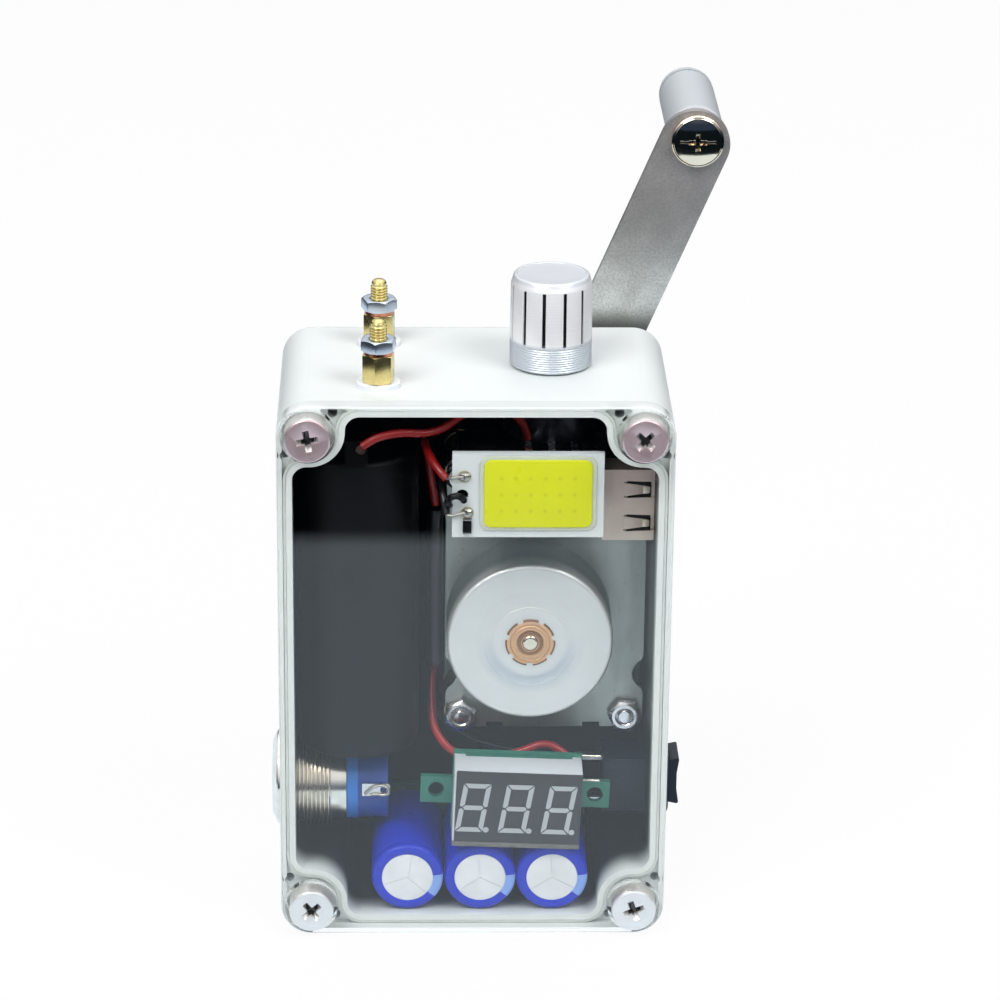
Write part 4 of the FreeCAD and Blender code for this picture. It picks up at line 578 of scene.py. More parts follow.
def cavity_shade_mask(tree, given):
    """Where painted shade goes inside the case: a box-shaped hollow in its frame, growing with depth."""
    parts = split(tree, given["Vector"])
    across = maths(tree, "LESS_THAN", maths(tree, "ABSOLUTE", parts["X"]), given["Half width"])
    level = maths(tree, "ABSOLUTE", maths(tree, "SUBTRACT", parts["Z"], given["Middle"]))
    within = maths(tree, "LESS_THAN", level, given["Half height"])
    before = maths(tree, "LESS_THAN", parts["Y"], given["Back"])
    return (product(tree, across, within, before, ramp(tree, parts["Y"], given["Start"], given["End"])),)


VALUE_AND_HEIGHT = ("Value", "Height")
# Each effect's label, maker, outputs and inputs besides the place. Their lengths are in metres.
SURFACES = {
    "mottled": ("Mottled surface", mottled_surface, VALUE_AND_HEIGHT, {"Scale": 120.0, "Grain": 2500.0}),
    "brushed": ("Brushed surface", brushed_surface, VALUE_AND_HEIGHT,
                {"Scale": 300.0, "Stretch": (1.0, 1.0, 12.0)}),
    "turned": ("Turned surface", turned_surface, VALUE_AND_HEIGHT, {"Pitch": 0.0003, "Wander": 0.35}),
    "specks": ("Specks", specks_mask, ("Mask",), {"Scale": 700.0, "Amount": 0.06}),
    "recess": ("Recess shade", recess_shade_mask, ("Mask",), {"Radius": 0.002, "Low": 0.0, "High": 0.002}),
    "cavity_shade": ("Cavity shade", cavity_shade_mask, ("Mask",), {
        "Half width": 0.0319, "Middle": 0.05, "Half height": 0.0479, "Start": -0.0185, "End": -0.0105,
        "Back": 0.0209}),
}


def surface_group(key):
    """The node group of a surface effect, built the first time that it is asked for."""
    label, build, outputs, inputs = SURFACES[key]
    if label in bpy.data.node_groups:
        return bpy.data.node_groups[label]
    tree = bpy.data.node_groups.new(label, "ShaderNodeTree")
    for name, value in {"Vector": (0.0, 0.0, 0.0), **inputs}.items():
        kind = "NodeSocketFloat" if isinstance(value, float) else "NodeSocketVector"
        tree.interface.new_socket(name, in_out="INPUT", socket_type=kind).default_value = value
    for name in outputs:
        tree.interface.new_socket(name, in_out="OUTPUT", socket_type="NodeSocketFloat")
    given = tree.nodes.new("NodeGroupInput").outputs
    result = tree.nodes.new("NodeGroupOutput").inputs
    for name, value in zip(outputs, build(tree, given)):
        tree.links.new(value, result[name])
    return tree


def use_group(tree, key, **inputs):
    """Places a surface effect in a material, with its own values."""
    return add_node(tree, "ShaderNodeGroup", inputs, node_tree=surface_group(key)).outputs


# ---------------------------------------------------------------- finishes

def scaled(tint, factor):
    """A colour, lighter or darker."""
    return tuple(min(1.0, level * factor) for level in tint)


def new_material(name):
    """A node-based material, its tree and its surface shader."""
    material = bpy.data.materials.new(name)
    material.use_nodes = True
    tree = material.node_tree
    return material, tree, tree.nodes["Principled BSDF"]


def finish(name, tint, pattern="mottled", shade=0.86, rough=(0.4, 0.5), metallic=0.0, bump=0.05,
           specks=0.0, centre=(0, 0, 0), facing="up", shader=None, recess=None, **inputs):
    """A material: a tint varied by a surface effect, which also moves its roughness and its relief.

    A recess is painted shade in a hollow: a radius, two heights along the facing and the share of the tint
    left in it.
    """
    material, tree, surface = new_material(name)
    turn = TOWARDS[facing].to_3x3().transposed().to_euler()
    local = add_node(tree, "ShaderNodeMapping", {
        "Vector": place_from(tree, centre), "Rotation": turn}).outputs[0]
    effect = use_group(tree, pattern, Vector=local, **inputs)
    shown = blend_colours(tree, effect["Value"], scaled(tint, shade), tint)
    if specks:
        mask = use_group(tree, "specks", Vector=local, Amount=specks)["Mask"]
        shown = blend_colours(tree, mask, shown, scaled(tint, 0.6))
    # Painted shade: the tint is darkened inside the given hollow.
    if recess:
        reach, low, high, left = recess
        mask = use_group(tree, "recess", Vector=local, Radius=reach * MM, Low=low * MM,
                         High=high * MM)["Mask"]
        shown = blend_colours(tree, mask, shown, scaled(tint, left))
    relief = add_node(tree, "ShaderNodeBump", {
        "Strength": bump, "Distance": 0.1 * MM, "Height": effect["Height"]}).outputs["Normal"]
    for socket, value in {
            "Base Color": shown, "Normal": relief, "Metallic": metallic, **(shader or {}),
            "Roughness": ramp(tree, effect["Value"], low=rough[1], high=rough[0], eased=False)}.items():
        fill(tree, surface.inputs[socket], value)
    return material


def tint_over(material, mask, tint):
    """Lays a tint over a material's colour where a mask is."""
    tree = material.node_tree
    colour_input = tree.nodes["Principled BSDF"].inputs["Base Color"]
    under = colour_input.links[0].from_socket
    tree.links.new(blend_colours(tree, mask, under, tint), colour_input)
    return material


def tinted_between(material, axis, start, end, tint, most=1.0):
    """Lays a tint over a material that grows from one place to another along an axis, in mm."""
    tree = material.node_tree
    level = split(tree, object_place(tree))[axis]
    return tint_over(material, ramp(tree, level, start * MM, end * MM, high=most), tint)


def dish_shade(material, centre, inner, outer, tint):
    """Lays a painted shade over the lower half of a ring round an axis along Y, fading out at both edges."""
    tree = material.node_tree
    reach = round_y(tree, centre)[1]
    from_inner = ramp(tree, reach, (inner - 0.9) * MM, (inner + 0.9) * MM)
    to_outer = ramp(tree, reach, (outer - 2.4) * MM, (outer + 0.6) * MM, 1.0, 0.0)
    up = split(tree, place_from(tree, centre))["Z"]
    below = ramp(tree, up, 2.0 * MM, -6.0 * MM, high=0.36)
    return tint_over(material, product(tree, from_inner, to_outer, below), tint)


def lit_streaks(material, middle, half_width, tint):
    """Lays a painted highlight in streaks over the top of the can behind its front edge."""
    tree = material.node_tree
    place = object_place(tree)
    parts = split(tree, place)
    aside = maths(tree, "ABSOLUTE", maths(tree, "SUBTRACT", parts["X"], middle * MM))
    near = ramp(tree, aside, 0.0, half_width * MM, 1.0, 0.0)
    start = ramp(tree, parts["Y"], -8.2 * MM, -7.6 * MM, eased=False)
    end = ramp(tree, parts["Y"], -7.0 * MM, -3.0 * MM, 1.0, 0.0)
    above = maths(tree, "GREATER_THAN", parts["Z"], 55 * MM)
    streaks = use_group(tree, "brushed", Vector=place, Scale=700.0, Stretch=(1.0, 0.05, 0.05))["Value"]
    return tint_over(material, product(tree, near, above, start, end, streaks), tint)


def shade_ring(material, centre, inner, outer, tint, most):
    """Lays a painted shade over a material between two radii round an axis along Y."""
    tree = material.node_tree
    reach = round_y(tree, centre)[1]
    outside = maths(tree, "GREATER_THAN", reach, inner * MM)
    within = maths(tree, "LESS_THAN", reach, outer * MM)
    return tint_over(material, product(tree, outside, within, most), tint)


def blotched(material, scale, tint, most):
    """Lays a tint over a material in soft blotches."""
    tree = material.node_tree
    effect = use_group(tree, "mottled", Vector=object_place(tree), Scale=scale, Grain=scale * 9)
    return tint_over(material, ramp(tree, effect["Value"], 0.15, 0.9, high=most), tint)


def striped(material, centre, degrees, share, tint):
    """Lays a stripe along a round sleeve about an axis along Y: the share is its half angle's cosine."""
    tree = material.node_tree
    flat, reach = round_y(tree, centre)
    turn = math.radians(degrees)
    along = vector_maths(tree, "DOT_PRODUCT", flat, (math.cos(turn), 0, math.sin(turn)), output="Value")
    return tint_over(material, maths(tree, "GREATER_THAN", along, product(tree, reach, share)), tint)


def clear_plastic():
    """Clear moulded plastic, which lets the lamps through to what it covers, with a painted highlight: its
    side faces near the outer edges are painted pale.
    """
    material, tree, surface = new_material("clear lid plastic")
    place = object_place(tree)
    effect = use_group(tree, "mottled", Vector=place, Scale=60.0, Grain=900.0)
    for socket, value in {
            "Roughness": ramp(tree, effect["Value"], low=0.012, high=0.0, eased=False),
            "Base Color": (0.975, 0.985, 0.98, 1), "Transmission Weight": 1.0, "IOR": 1.46}.items():
        fill(tree, surface.inputs[socket], value)
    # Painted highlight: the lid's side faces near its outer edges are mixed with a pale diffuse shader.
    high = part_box("clear_lid")[1]
    parts = split(tree, place)
    aside = maths(tree, "ABSOLUTE", parts["X"])
    across = ramp(tree, aside, high.x - 2.0 * MM, high.x - 0.9 * MM, eased=False)
    up = ramp(tree, parts["Z"], high.z - 2.0 * MM, high.z - 0.9 * MM, eased=False)
    normal = add_node(tree, "ShaderNodeTexCoord").outputs["Normal"]
    on_side = maths(tree, "LESS_THAN", maths(tree, "ABSOLUTE", split(tree, normal)["Y"]), 0.8)
    share = product(tree, maths(tree, "MAXIMUM", across, up), on_side, 0.8)
    edge = add_node(tree, "ShaderNodeBsdfDiffuse", {"Color": (*srgb(222, 226, 226), 1)})
    # The clear plastic with the painted highlight on its edges.
    moulded = mix_shaders(tree, share, surface.outputs["BSDF"], edge.outputs["BSDF"])
    path = add_node(tree, "ShaderNodeLightPath").outputs
    through = maths(tree, "MAXIMUM", path["Is Shadow Ray"], path["Is Diffuse Ray"])
    open_way = add_node(tree, "ShaderNodeBsdfTransparent", {"Color": (0.96, 0.97, 0.965, 1)})
    tree.links.new(mix_shaders(tree, through, moulded, open_way.outputs["BSDF"]),
                   tree.nodes["Material Output"].inputs["Surface"])
    return material


def plated(name="nickel plate", tint=None, rough=(0.14, 0.26), **more):
    """Nickel plate over steel."""
    return finish(name, tint or settings("metal").plating, rough=rough, metallic=1.0, shade=0.88,
                  Scale=260.0, Grain=3200.0, **more)


# ---------------------------------------------------------------- stage

CAMERA_PLACE = (-12.0, -634.7, 328.3)
CAMERA_YAW = 1.505
CAMERA_PITCH = 21.775
CAMERA_ROLL = 0.599
CAMERA_LENS_MM = 139.54
SENSOR_MM = 36.0
# Where the white floor ends for what reflects it, in metres: half its width, its middle and half its depth.
BRIGHT_HALF_WIDTH = 0.26
BRIGHT_MIDDLE = 0.07
BRIGHT_HALF_DEPTH = 0.275
# Softboxes: place and aim in metres, side in metres and power in watts.
LAMPS = {
    "lamp_top": ((0.05, 0.15, 1.15), (0, 0, 0.05), 1.0, 2.4),
    "lamp_left": ((-0.55, -0.75, 1.15), (0, 0, 0.05), 0.7, 12.0),
    "lamp_right": ((0.7, -0.6, 1.1), (0, 0, 0.05), 0.6, 8.5),
    "lamp_back": ((0.1, 0.9, 1.25), (0, 0, 0.05), 0.8, 1.6),
}
WHITE = (1, 1, 1, 1)
DARK_ROOM = srgb(44, 58, 82)
DARK_FLOOR = srgb(14, 22, 28)
BRIGHT_FLOOR = (0.86, 1.0, 1.12)


def through_lid(tree, depth):
    """Marks the rays that leave the lid backwards without having met what is in the case."""
    path = add_node(tree, "ShaderNodeLightPath").outputs
    few = maths(tree, "LESS_THAN", path["Transmission Depth"], 2.5)
    backwards = maths(tree, "GREATER_THAN", depth, 0.0)
    return product(tree, path["Is Transmission Ray"], few, backwards)


def floor_material():
    """Pale floor: white to the camera with the shadow kept, and bright in reflections only near by."""
    material, tree, surface = new_material("pale floor")
    place = object_place(tree)
    effect = use_group(tree, "mottled", Vector=place, Scale=6.0, Grain=400.0)
    fill(tree, surface.inputs["Roughness"], 0.9)
    fill(tree, surface.inputs["Base Color"],
         blend_colours(tree, effect["Value"], (0.80, 0.80, 0.80), (0.82, 0.82, 0.82)))
    parts = split(tree, place)
    side = maths(tree, "DIVIDE", maths(tree, "ABSOLUTE", parts["X"]), BRIGHT_HALF_WIDTH)
    from_middle = maths(tree, "ABSOLUTE", maths(tree, "SUBTRACT", parts["Y"], BRIGHT_MIDDLE))
    away = maths(tree, "DIVIDE", from_middle, BRIGHT_HALF_DEPTH)
    edge = ramp(tree, maths(tree, "MAXIMUM", side, away), 0.985, 1.01, 1.0, 0.0)
    reflected = add_node(tree, "ShaderNodeEmission", {
        "Color": blend_colours(tree, edge, DARK_FLOOR, BRIGHT_FLOOR)}).outputs["Emission"]
    white = add_node(tree, "ShaderNodeEmission", {"Color": WHITE, "Strength": 1.0}).outputs["Emission"]
    path = add_node(tree, "ShaderNodeLightPath").outputs
    straight = through_lid(tree, maths(tree, "ADD", parts["Y"], 0.02))
    shown = maths(tree, "MAXIMUM", path["Is Camera Ray"], straight)
    shadowed = mix_shaders(tree, product(tree, shown, 0.92), surface.outputs["BSDF"], white)
    mirrored = product(tree, path["Is Glossy Ray"], maths(tree, "SUBTRACT", 1.0, straight))
    tree.links.new(mix_shaders(tree, mirrored, shadowed, reflected),
                   tree.nodes["Material Output"].inputs["Surface"])
    return material


def build_world():
    """A soft white room, white to the camera, and darker at the horizon in reflections."""
    world = bpy.data.worlds.new("studio")
    world.use_nodes = True
    bpy.context.scene.world = world
    tree = world.node_tree

    def light(tint, strength):
        return add_node(tree, "ShaderNodeBackground", {
            "Color": tint, "Strength": strength}).outputs["Background"]

    parts = split(tree, add_node(tree, "ShaderNodeTexCoord").outputs["Generated"])
    height = ramp(tree, parts["Z"], 0.02, 0.5)
    room = light(blend_colours(tree, height, DARK_ROOM, (0.95, 0.97, 1.0)), 1.0)
    path = add_node(tree, "ShaderNodeLightPath").outputs
    soft = mix_shaders(tree, path["Is Glossy Ray"], light((0.95, 0.98, 1.0, 1), 0.38), room)
    shown = maths(tree, "MAXIMUM", path["Is Camera Ray"], through_lid(tree, parts["Y"]))
    tree.links.new(mix_shaders(tree, shown, soft, light(WHITE, 1.0)),
                   tree.nodes["World Output"].inputs["Surface"])


class GENERATOR_OT_stage(bpy.types.Operator):
    """Sets the floor, the room, the lamps and the camera"""
    bl_idname = "generator.stage"
    bl_label = "Stage"

    def execute(self, context):
        scene = context.scene
        scene.view_settings.view_transform = "Standard"
        clear_selection()
        bpy.ops.mesh.primitive_plane_add(size=4.0)
        floor = context.object
        floor.name = "floor"
        floor.data.materials.append(floor_material())
        build_world()
        for name, (place, aim, side, power) in LAMPS.items():
            turn = (Vector(aim) - Vector(place)).to_track_quat("-Z", "Y").to_euler()
            bpy.ops.object.light_add(type="AREA", location=place, rotation=turn)
            lamp = context.object
            lamp.name = name
            lamp.data.size = side
            lamp.data.energy = power
        bpy.ops.object.camera_add(location=in_metres(CAMERA_PLACE))
        camera = context.object
        camera.name = "camera"
        turn = (
            Matrix.Rotation(math.radians(-CAMERA_YAW), 4, "Z")
            @ Matrix.Rotation(math.radians(90 - CAMERA_PITCH), 4, "X")
            @ Matrix.Rotation(math.radians(CAMERA_ROLL), 4, "Z")
        )
        camera.rotation_euler = turn.to_euler()
        camera.data.lens = CAMERA_LENS_MM
        camera.data.sensor_width = SENSOR_MM
        camera.data.clip_start = 0.01
        scene.camera = camera
        return {"FINISHED"}


# ---------------------------------------------------------------- case

class GENERATOR_OT_case(bpy.types.Operator):
    """Finishes the case with painted shade inside it, its lid, its seal and the near-black sheet that stands
    in for shade
    """
    bl_idname = "generator.case"
    bl_label = "Case"

    def execute(self, context):
        tints = settings("plastic")
        case = finish("moulded case", tints.case, shade=0.965, rough=(0.34, 0.42), bump=0.03,
                      Scale=45.0, Grain=2600.0)
        tree = case.node_tree
        # Painted shade: the inside of the case darkens to near black towards the back.
        cavity_shade = use_group(tree, "cavity_shade", Vector=object_place(tree))["Mask"]
        tint_over(case, cavity_shade, srgb(11, 13, 16))
        paint(case, "base_shell")
        paint(finish("seal cord", tints.seal, rough=(0.55, 0.7), bump=0.1, Scale=300.0), "lid_gasket")
        # Painted shade: the sheet is near black to stand in for the shade inside the case.
        paint(finish("shade sheet", tints.shade_sheet_and_foam, rough=(0.7, 0.85), bump=0.05, Scale=200.0,
                     shader={"Specular IOR Level": 0.15}), "insulating_sheet")
        paint(clear_plastic(), "clear_lid")
        return {"FINISHED"}


SCREW_RADIUS = 3.95
SCREW_HEAD = 4.4
CASE_HALFWAY_UP = 50
LID_SCREW_TURNS = (40.0, 10.0, 20.0, 45.0)
# The plated metal, and a painted reflection laid over the faces of the upper pair.
LID_SCREW_TINT_AND_REFLECTION = (srgb(238, 236, 234), srgb(212, 188, 191))


class GENERATOR_OT_screws(bpy.types.Operator):
    """Makes the four lid screws"""
    bl_idname = "generator.screws"
    bl_label = "Lid screws"

    def execute(self, context):
        low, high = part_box("lid_screws")
        radius = SCREW_RADIUS
        head = SCREW_HEAD
        screw = turned("lid_screw", [
            (1.6, -15.5), (1.95, -15.2), (1.95, 0), (radius - 0.15, 0), (radius, 0.15),
            (radius, head - 0.35), (radius - 0.08, head - 0.13), (radius - 0.3, head),
        ], 64)
        cutter = moved(cross_cutter("screw_cross", 2.75, 0.76, 1.8, 0.4), (0, 0, head))
        smooth(bevelled(carved(screw, cutter), 0.13, 2, 40), 28)
        front = low.y / MM
        places = [(across, up) for across in (low.x / MM + radius, high.x / MM - radius)
                  for up in (low.z / MM + radius, high.z / MM - radius)]
        for turn, (across, up) in zip(LID_SCREW_TURNS, places):
            twin = copy_of(screw, f"lid_screw_{len(bpy.data.objects)}")
            moved(twin, (across, front + head, up), "front", turn)
            # Painted shade in the cross of each screw head.
            steel = finish("screw plate", LID_SCREW_TINT_AND_REFLECTION[0], "turned", shade=0.86, rough=(0.26, 0.38),
                           metallic=0.75, bump=0.1, centre=(across, 0, up), facing="front", Pitch=0.00022,
                           Wander=0.5, recess=(1.15, 21.0, 22.9, 0.12))
            # Painted reflection: the upper pair's faces are tinted mauve.
            if up > CASE_HALFWAY_UP:
                tinted_between(steel, "Y", front + 0.4, front + 0.2, LID_SCREW_TINT_AND_REFLECTION[1])
            place_on(twin, "case", "nickel", steel, "lid_screws")
        bpy.data.objects.remove(screw)
        return {"FINISHED"}


# ---------------------------------------------------------------- crank

ARM_FRONT = 24.2
SHAFT_AXIS = (14.1, 0, 73.0)
# Painted reflections and shade up the arm's length, pale low down, mauve-grey higher up and dark at its foot
# by the roof: from and to which height, the tint and how much of it.
ARM_PAINTED_LIGHT = (
    (122, 104, srgb(244, 248, 244), 0.9), (108, 134, srgb(186, 181, 180), 0.9),
    (103, 98, srgb(72, 80, 74), 0.85),
)


def grip_plastic(name):
    """The plastic of the grip and its cap."""
    return finish(name, settings("plastic").grip, shade=0.98, rough=(0.3, 0.4), bump=0.03, Scale=60.0,
                  Grain=2400.0)


class GENERATOR_OT_crank(bpy.types.Operator):
    """Finishes the crank and makes the grip's screw"""
    bl_idname = "generator.crank"
    bl_label = "Crank"

    def execute(self, context):
        metal = settings("metal")
        arm = finish("rolled arm steel", metal.arm, "brushed", shade=0.72, rough=(0.4, 0.56),
                     metallic=0.8, bump=0.2, specks=0.1, Scale=620.0, Stretch=(1.0, 1.0, 0.6))
        for start, end, tint, most in ARM_PAINTED_LIGHT:
            tinted_between(arm, "Z", start, end, tint, most)
        # The arm's own tint laid back over the painted bands below the roof.
        tinted_between(arm, "Z", 97.5, 93, metal.arm, 0.85)
        blotched(arm, 130.0, srgb(126, 124, 122), 0.3)
        paint(blotched(arm, 2600.0, srgb(112, 109, 108), 0.3), "crank_arm")
        paint(finish("crank shaft steel", metal.arm, "turned", rough=(0.25, 0.35), metallic=1.0, bump=0.1,
                     centre=SHAFT_AXIS, facing="front"), "crank_shaft")
        paint(plated("crank nut plate"), "crank_nuts")
        paint(grip_plastic("grip plastic"), "handle_end_cap")
        # Painted shadow: a dark band at the grip's back end stands for the shade in the gap before its cap.
        gap_shadow = grip_plastic("grip plastic with a painted gap shadow")
        paint(tinted_between(gap_shadow, "Y", 51.9, 52.4, srgb(40, 62, 56)), "handle_grip")
        low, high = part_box("handle_screw")
        axis = ((low.x + high.x) / 2 / MM, ARM_FRONT, (low.z + high.z) / 2 / MM)
        radius = (high.x - low.x) / 2 / MM
        top = 1.88
        dome = [(across, top - across ** 2 / 40) for across in (4.2, 3.6, 3.0, 2.4, 1.8, 1.2, 0.6)]
        screw = turned("grip_screw", [
            (1.8, -29.8), (2.0, -29.6), (2.0, 0.01), (radius - 0.15, 0.01), (radius, 0.15), (radius, 0.95),
            (radius - 0.1, 1.25), (radius - 0.3, 1.4), (radius - 0.45, 1.36), *dome], 96)
        carved(screw, moved(cross_cutter("grip_cross", 2.15, 0.55, 1.3, 0.5), (0, 0, top)))
        slot = closed(block("grip_slot", (-3.2, -0.24, top - 0.62), (3.2, 0.24, top + 0.3)))
        carved(screw, slot)
        smooth(bevelled(screw, 0.1, 2, 40), 24)
        # Painted shade in the cross and slot of the head.
        bright = finish("polished screw", metal.polished, rough=(0.05, 0.1), metallic=1.0, shade=0.94,
                        bump=0.02, centre=axis, facing="front", recess=(3.3, 0.3, 1.25, 0.6), Scale=150.0)
        place_on(moved(screw, axis, "front"), "crank", "polished_steel", bright, "handle_screw")
        paint(finish("crank bush brass", metal.brass, "turned", rough=(0.25, 0.35), metallic=1.0,
                     centre=SHAFT_AXIS, facing="front"), "crank_bearing")
        return {"FINISHED"}


# ---------------------------------------------------------------- gearbox and generator

CAN_FRONT = -8.9
ROTOR_AXIS = (10.0, 0, 51.7)
# Painted shade in rings on the washer and the bush, at their edges and grooves: inner and outer radius, and
# how dark.
BRONZE_SHADE_RINGS = ((4.12, 4.6, 0.9), (3.42, 3.56, 0.5), (1.6, 2.3, 0.75), (2.8, 2.92, 0.3))
WASHER_NOTCHES = 7
CASE_BACK = 21.5
BOLT_NUT_FLATS = 5.5
BOLT_NUT_BACK = 2.6
BOLT_HEAD_RADIUS = 2.9


class GENERATOR_OT_gearbox(bpy.types.Operator):
    """Finishes the gearbox and the generator, and makes the gearbox's bolts and nuts"""
    bl_idname = "generator.gearbox"
    bl_label = "Gearbox and generator"

    def execute(self, context):
        metal = settings("metal")
        rotor = ROTOR_AXIS
        paint(finish("gearbox plate", metal.plate, "brushed", shade=0.82, rough=(0.34, 0.46), metallic=1.0,
                     bump=0.16, specks=0.1, Scale=500.0, Stretch=(1.0, 1.0, 0.3)),
              "gear_plate_front", "gear_plate_rear")
        paint(finish("gear steel", metal.plate, shade=0.75, rough=(0.3, 0.45), metallic=1.0, Scale=300.0),
              "crank_gear", "idler_gear_1", "idler_gear_2", "idler_arbors")
        paint(finish("spacer brass", metal.brass, rough=(0.25, 0.4), metallic=1.0, Scale=300.0),
              "gearbox_spacers")
        can = finish("drawn can", metal.can, "turned", shade=0.95, rough=(0.4, 0.48), metallic=0.7,
                     bump=0.05, centre=rotor, facing="front", Pitch=0.0011, Wander=0.6)
        # Painted shade: the can's side darkens behind its front edge.
        tinted_between(can, "Y", -7.9, -4.0, srgb(96, 112, 104), 0.85)
        # Painted highlight: pale streaks over the top of the can.
        lit_streaks(can, rotor[0], 6.5, srgb(214, 226, 204))
        # Painted shade over the lower half of the can's front face.
        paint(dish_shade(can, rotor, 6.2, 9.6, srgb(150, 172, 196)), "generator_can")
        bronze = finish("bush bronze", metal.bronze, "turned", shade=0.76, rough=(0.3, 0.42), metallic=0.5,
                        bump=0.15, centre=rotor, facing="front", Pitch=0.0004)
        # Painted shade at the edges and grooves of the washer and the bush.
        for inner, outer, most in BRONZE_SHADE_RINGS:
            shade_ring(bronze, rotor, inner, outer, srgb(104, 62, 40), most)
        paint(bronze, "rotor_bushes")
        washer = turned("notched_washer", [
            (4.3, 0.0), (4.4, 0.06), (4.4, 0.24), (4.3, 0.3), (3.5, 0.3), (3.42, 0.2), (3.2, 0.2),
            (3.12, 0.3), (2.5, 0.3), (2.42, 0.18), (2.25, 0.18),
        ], 112)
        for step in range(WASHER_NOTCHES):
            notch = closed(block("washer_notch", (3.85, -0.55, -0.1), (5.0, 0.55, 0.4)))
            carved(washer, moved(notch, turn=step * 360 / WASHER_NOTCHES + 12))
        smooth(bevelled(washer, 0.04, 1, 40), 30)
        place_on(moved(washer, (rotor[0], CAN_FRONT, rotor[2]), "front"), "case", "bronze", bronze,
                 "tab_washer")
        paint(finish("rotor steel", metal.polished, "turned", rough=(0.08, 0.16), metallic=1.0,
                     centre=rotor, facing="front", Pitch=0.0002), "rotor_shaft")
        paint(finish("sintered magnet", srgb(62, 62, 66), rough=(0.5, 0.65), Scale=500.0), "rotor_magnet")
        paint(finish("coil wire", metal.copper, "turned", shade=0.6, rough=(0.3, 0.45), metallic=0.9,
                     bump=0.6, centre=rotor, facing="front", Pitch=0.00025, Wander=0.1), "stator_coils")
        bolt = turned("gearbox_bolt", [
            (1.1, -20.9), (1.4, -20.6), *threaded(-20.4, -17.0, 1.45, 1.3, 0.5), (1.42, -16.8), (1.42, 0),
            (2.8, 0), (BOLT_HEAD_RADIUS, 0.12), (BOLT_HEAD_RADIUS, 0.9), (2.6, 1.45), (2.1, 1.72), (1.5, 1.8),
        ])
        cutter = moved(cross_cutter("bolt_cross", 1.7, 0.38, 1.2), (0, 0, 1.8))
        smooth(bevelled(carved(bolt, cutter), 0.04, 2, 45))
        nut = hexagon_nut("gearbox_nut", BOLT_NUT_FLATS, 1.9, 1.5, face=0.84)
        smooth(bevelled(nut, 0.06, 2, 25), 25)
        bolt_steel = plated("gearbox bolt plate")
        nut_steel = plated("gearbox nut plate", rough=(0.16, 0.3))
        low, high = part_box("gearbox_bolts")
        corner = BOLT_NUT_FLATS / math.sqrt(3)
        for across in (low.x / MM + corner, high.x / MM - corner):
            for up in (low.z / MM + BOLT_HEAD_RADIUS, high.z / MM - BOLT_HEAD_RADIUS):
                side = f"{'left' if across < 0 else 'right'}_{'low' if up < CASE_HALFWAY_UP else 'high'}"
                for piece, depth, way, turn, steel in (
                        (bolt, CASE_BACK, "back", across, bolt_steel),
                        (nut, BOLT_NUT_BACK, "front", across * 3, nut_steel)):
                    twin = moved(copy_of(piece, f"{piece.name}_{side}"), (across, depth, up), way, turn)
                    place_on(twin, "case", "nickel", steel, "gearbox_bolts")
        bpy.data.objects.remove(bolt)
        bpy.data.objects.remove(nut)
        return {"FINISHED"}


# ---------------------------------------------------------------- light

LIGHT_FACE_Y = -17.2
CHIP_PITCH = 2.51
CHIP_LEFT = 4.41
CHIP_LOW = 80.2
CHIP_RISE = 3.0
CHIPS_ACROSS = 6
CHIPS_UP = 3
RESISTOR_X = -1.41


def gel_material():
    """Yellow gel with faint chips under it, six across and three up."""
    material = finish("yellow gel", settings("board").gel, shade=0.97, rough=(0.25, 0.34), bump=0.05,
                      Scale=150.0, Grain=1200.0)
    tree = material.node_tree
    parts = split(tree, object_place(tree))

    def off_grid(coordinate, first, pitch, last):
        steps = maths(tree, "DIVIDE", maths(tree, "SUBTRACT", coordinate, first * MM), pitch * MM)
        nearest = maths(tree, "MINIMUM", maths(tree, "MAXIMUM", maths(tree, "ROUND", steps), 0.0), last)
        return product(tree, maths(tree, "SUBTRACT", steps, nearest), pitch)

    across = off_grid(parts["X"], CHIP_LEFT, CHIP_PITCH, CHIPS_ACROSS - 1)
    up = off_grid(parts["Z"], CHIP_LOW, CHIP_RISE, CHIPS_UP - 1)
    return tint_over(material, ramp(tree, reach_of(tree, across, up), 0.15, 0.55, 0.42, 0.0),
                     srgb(176, 178, 20))


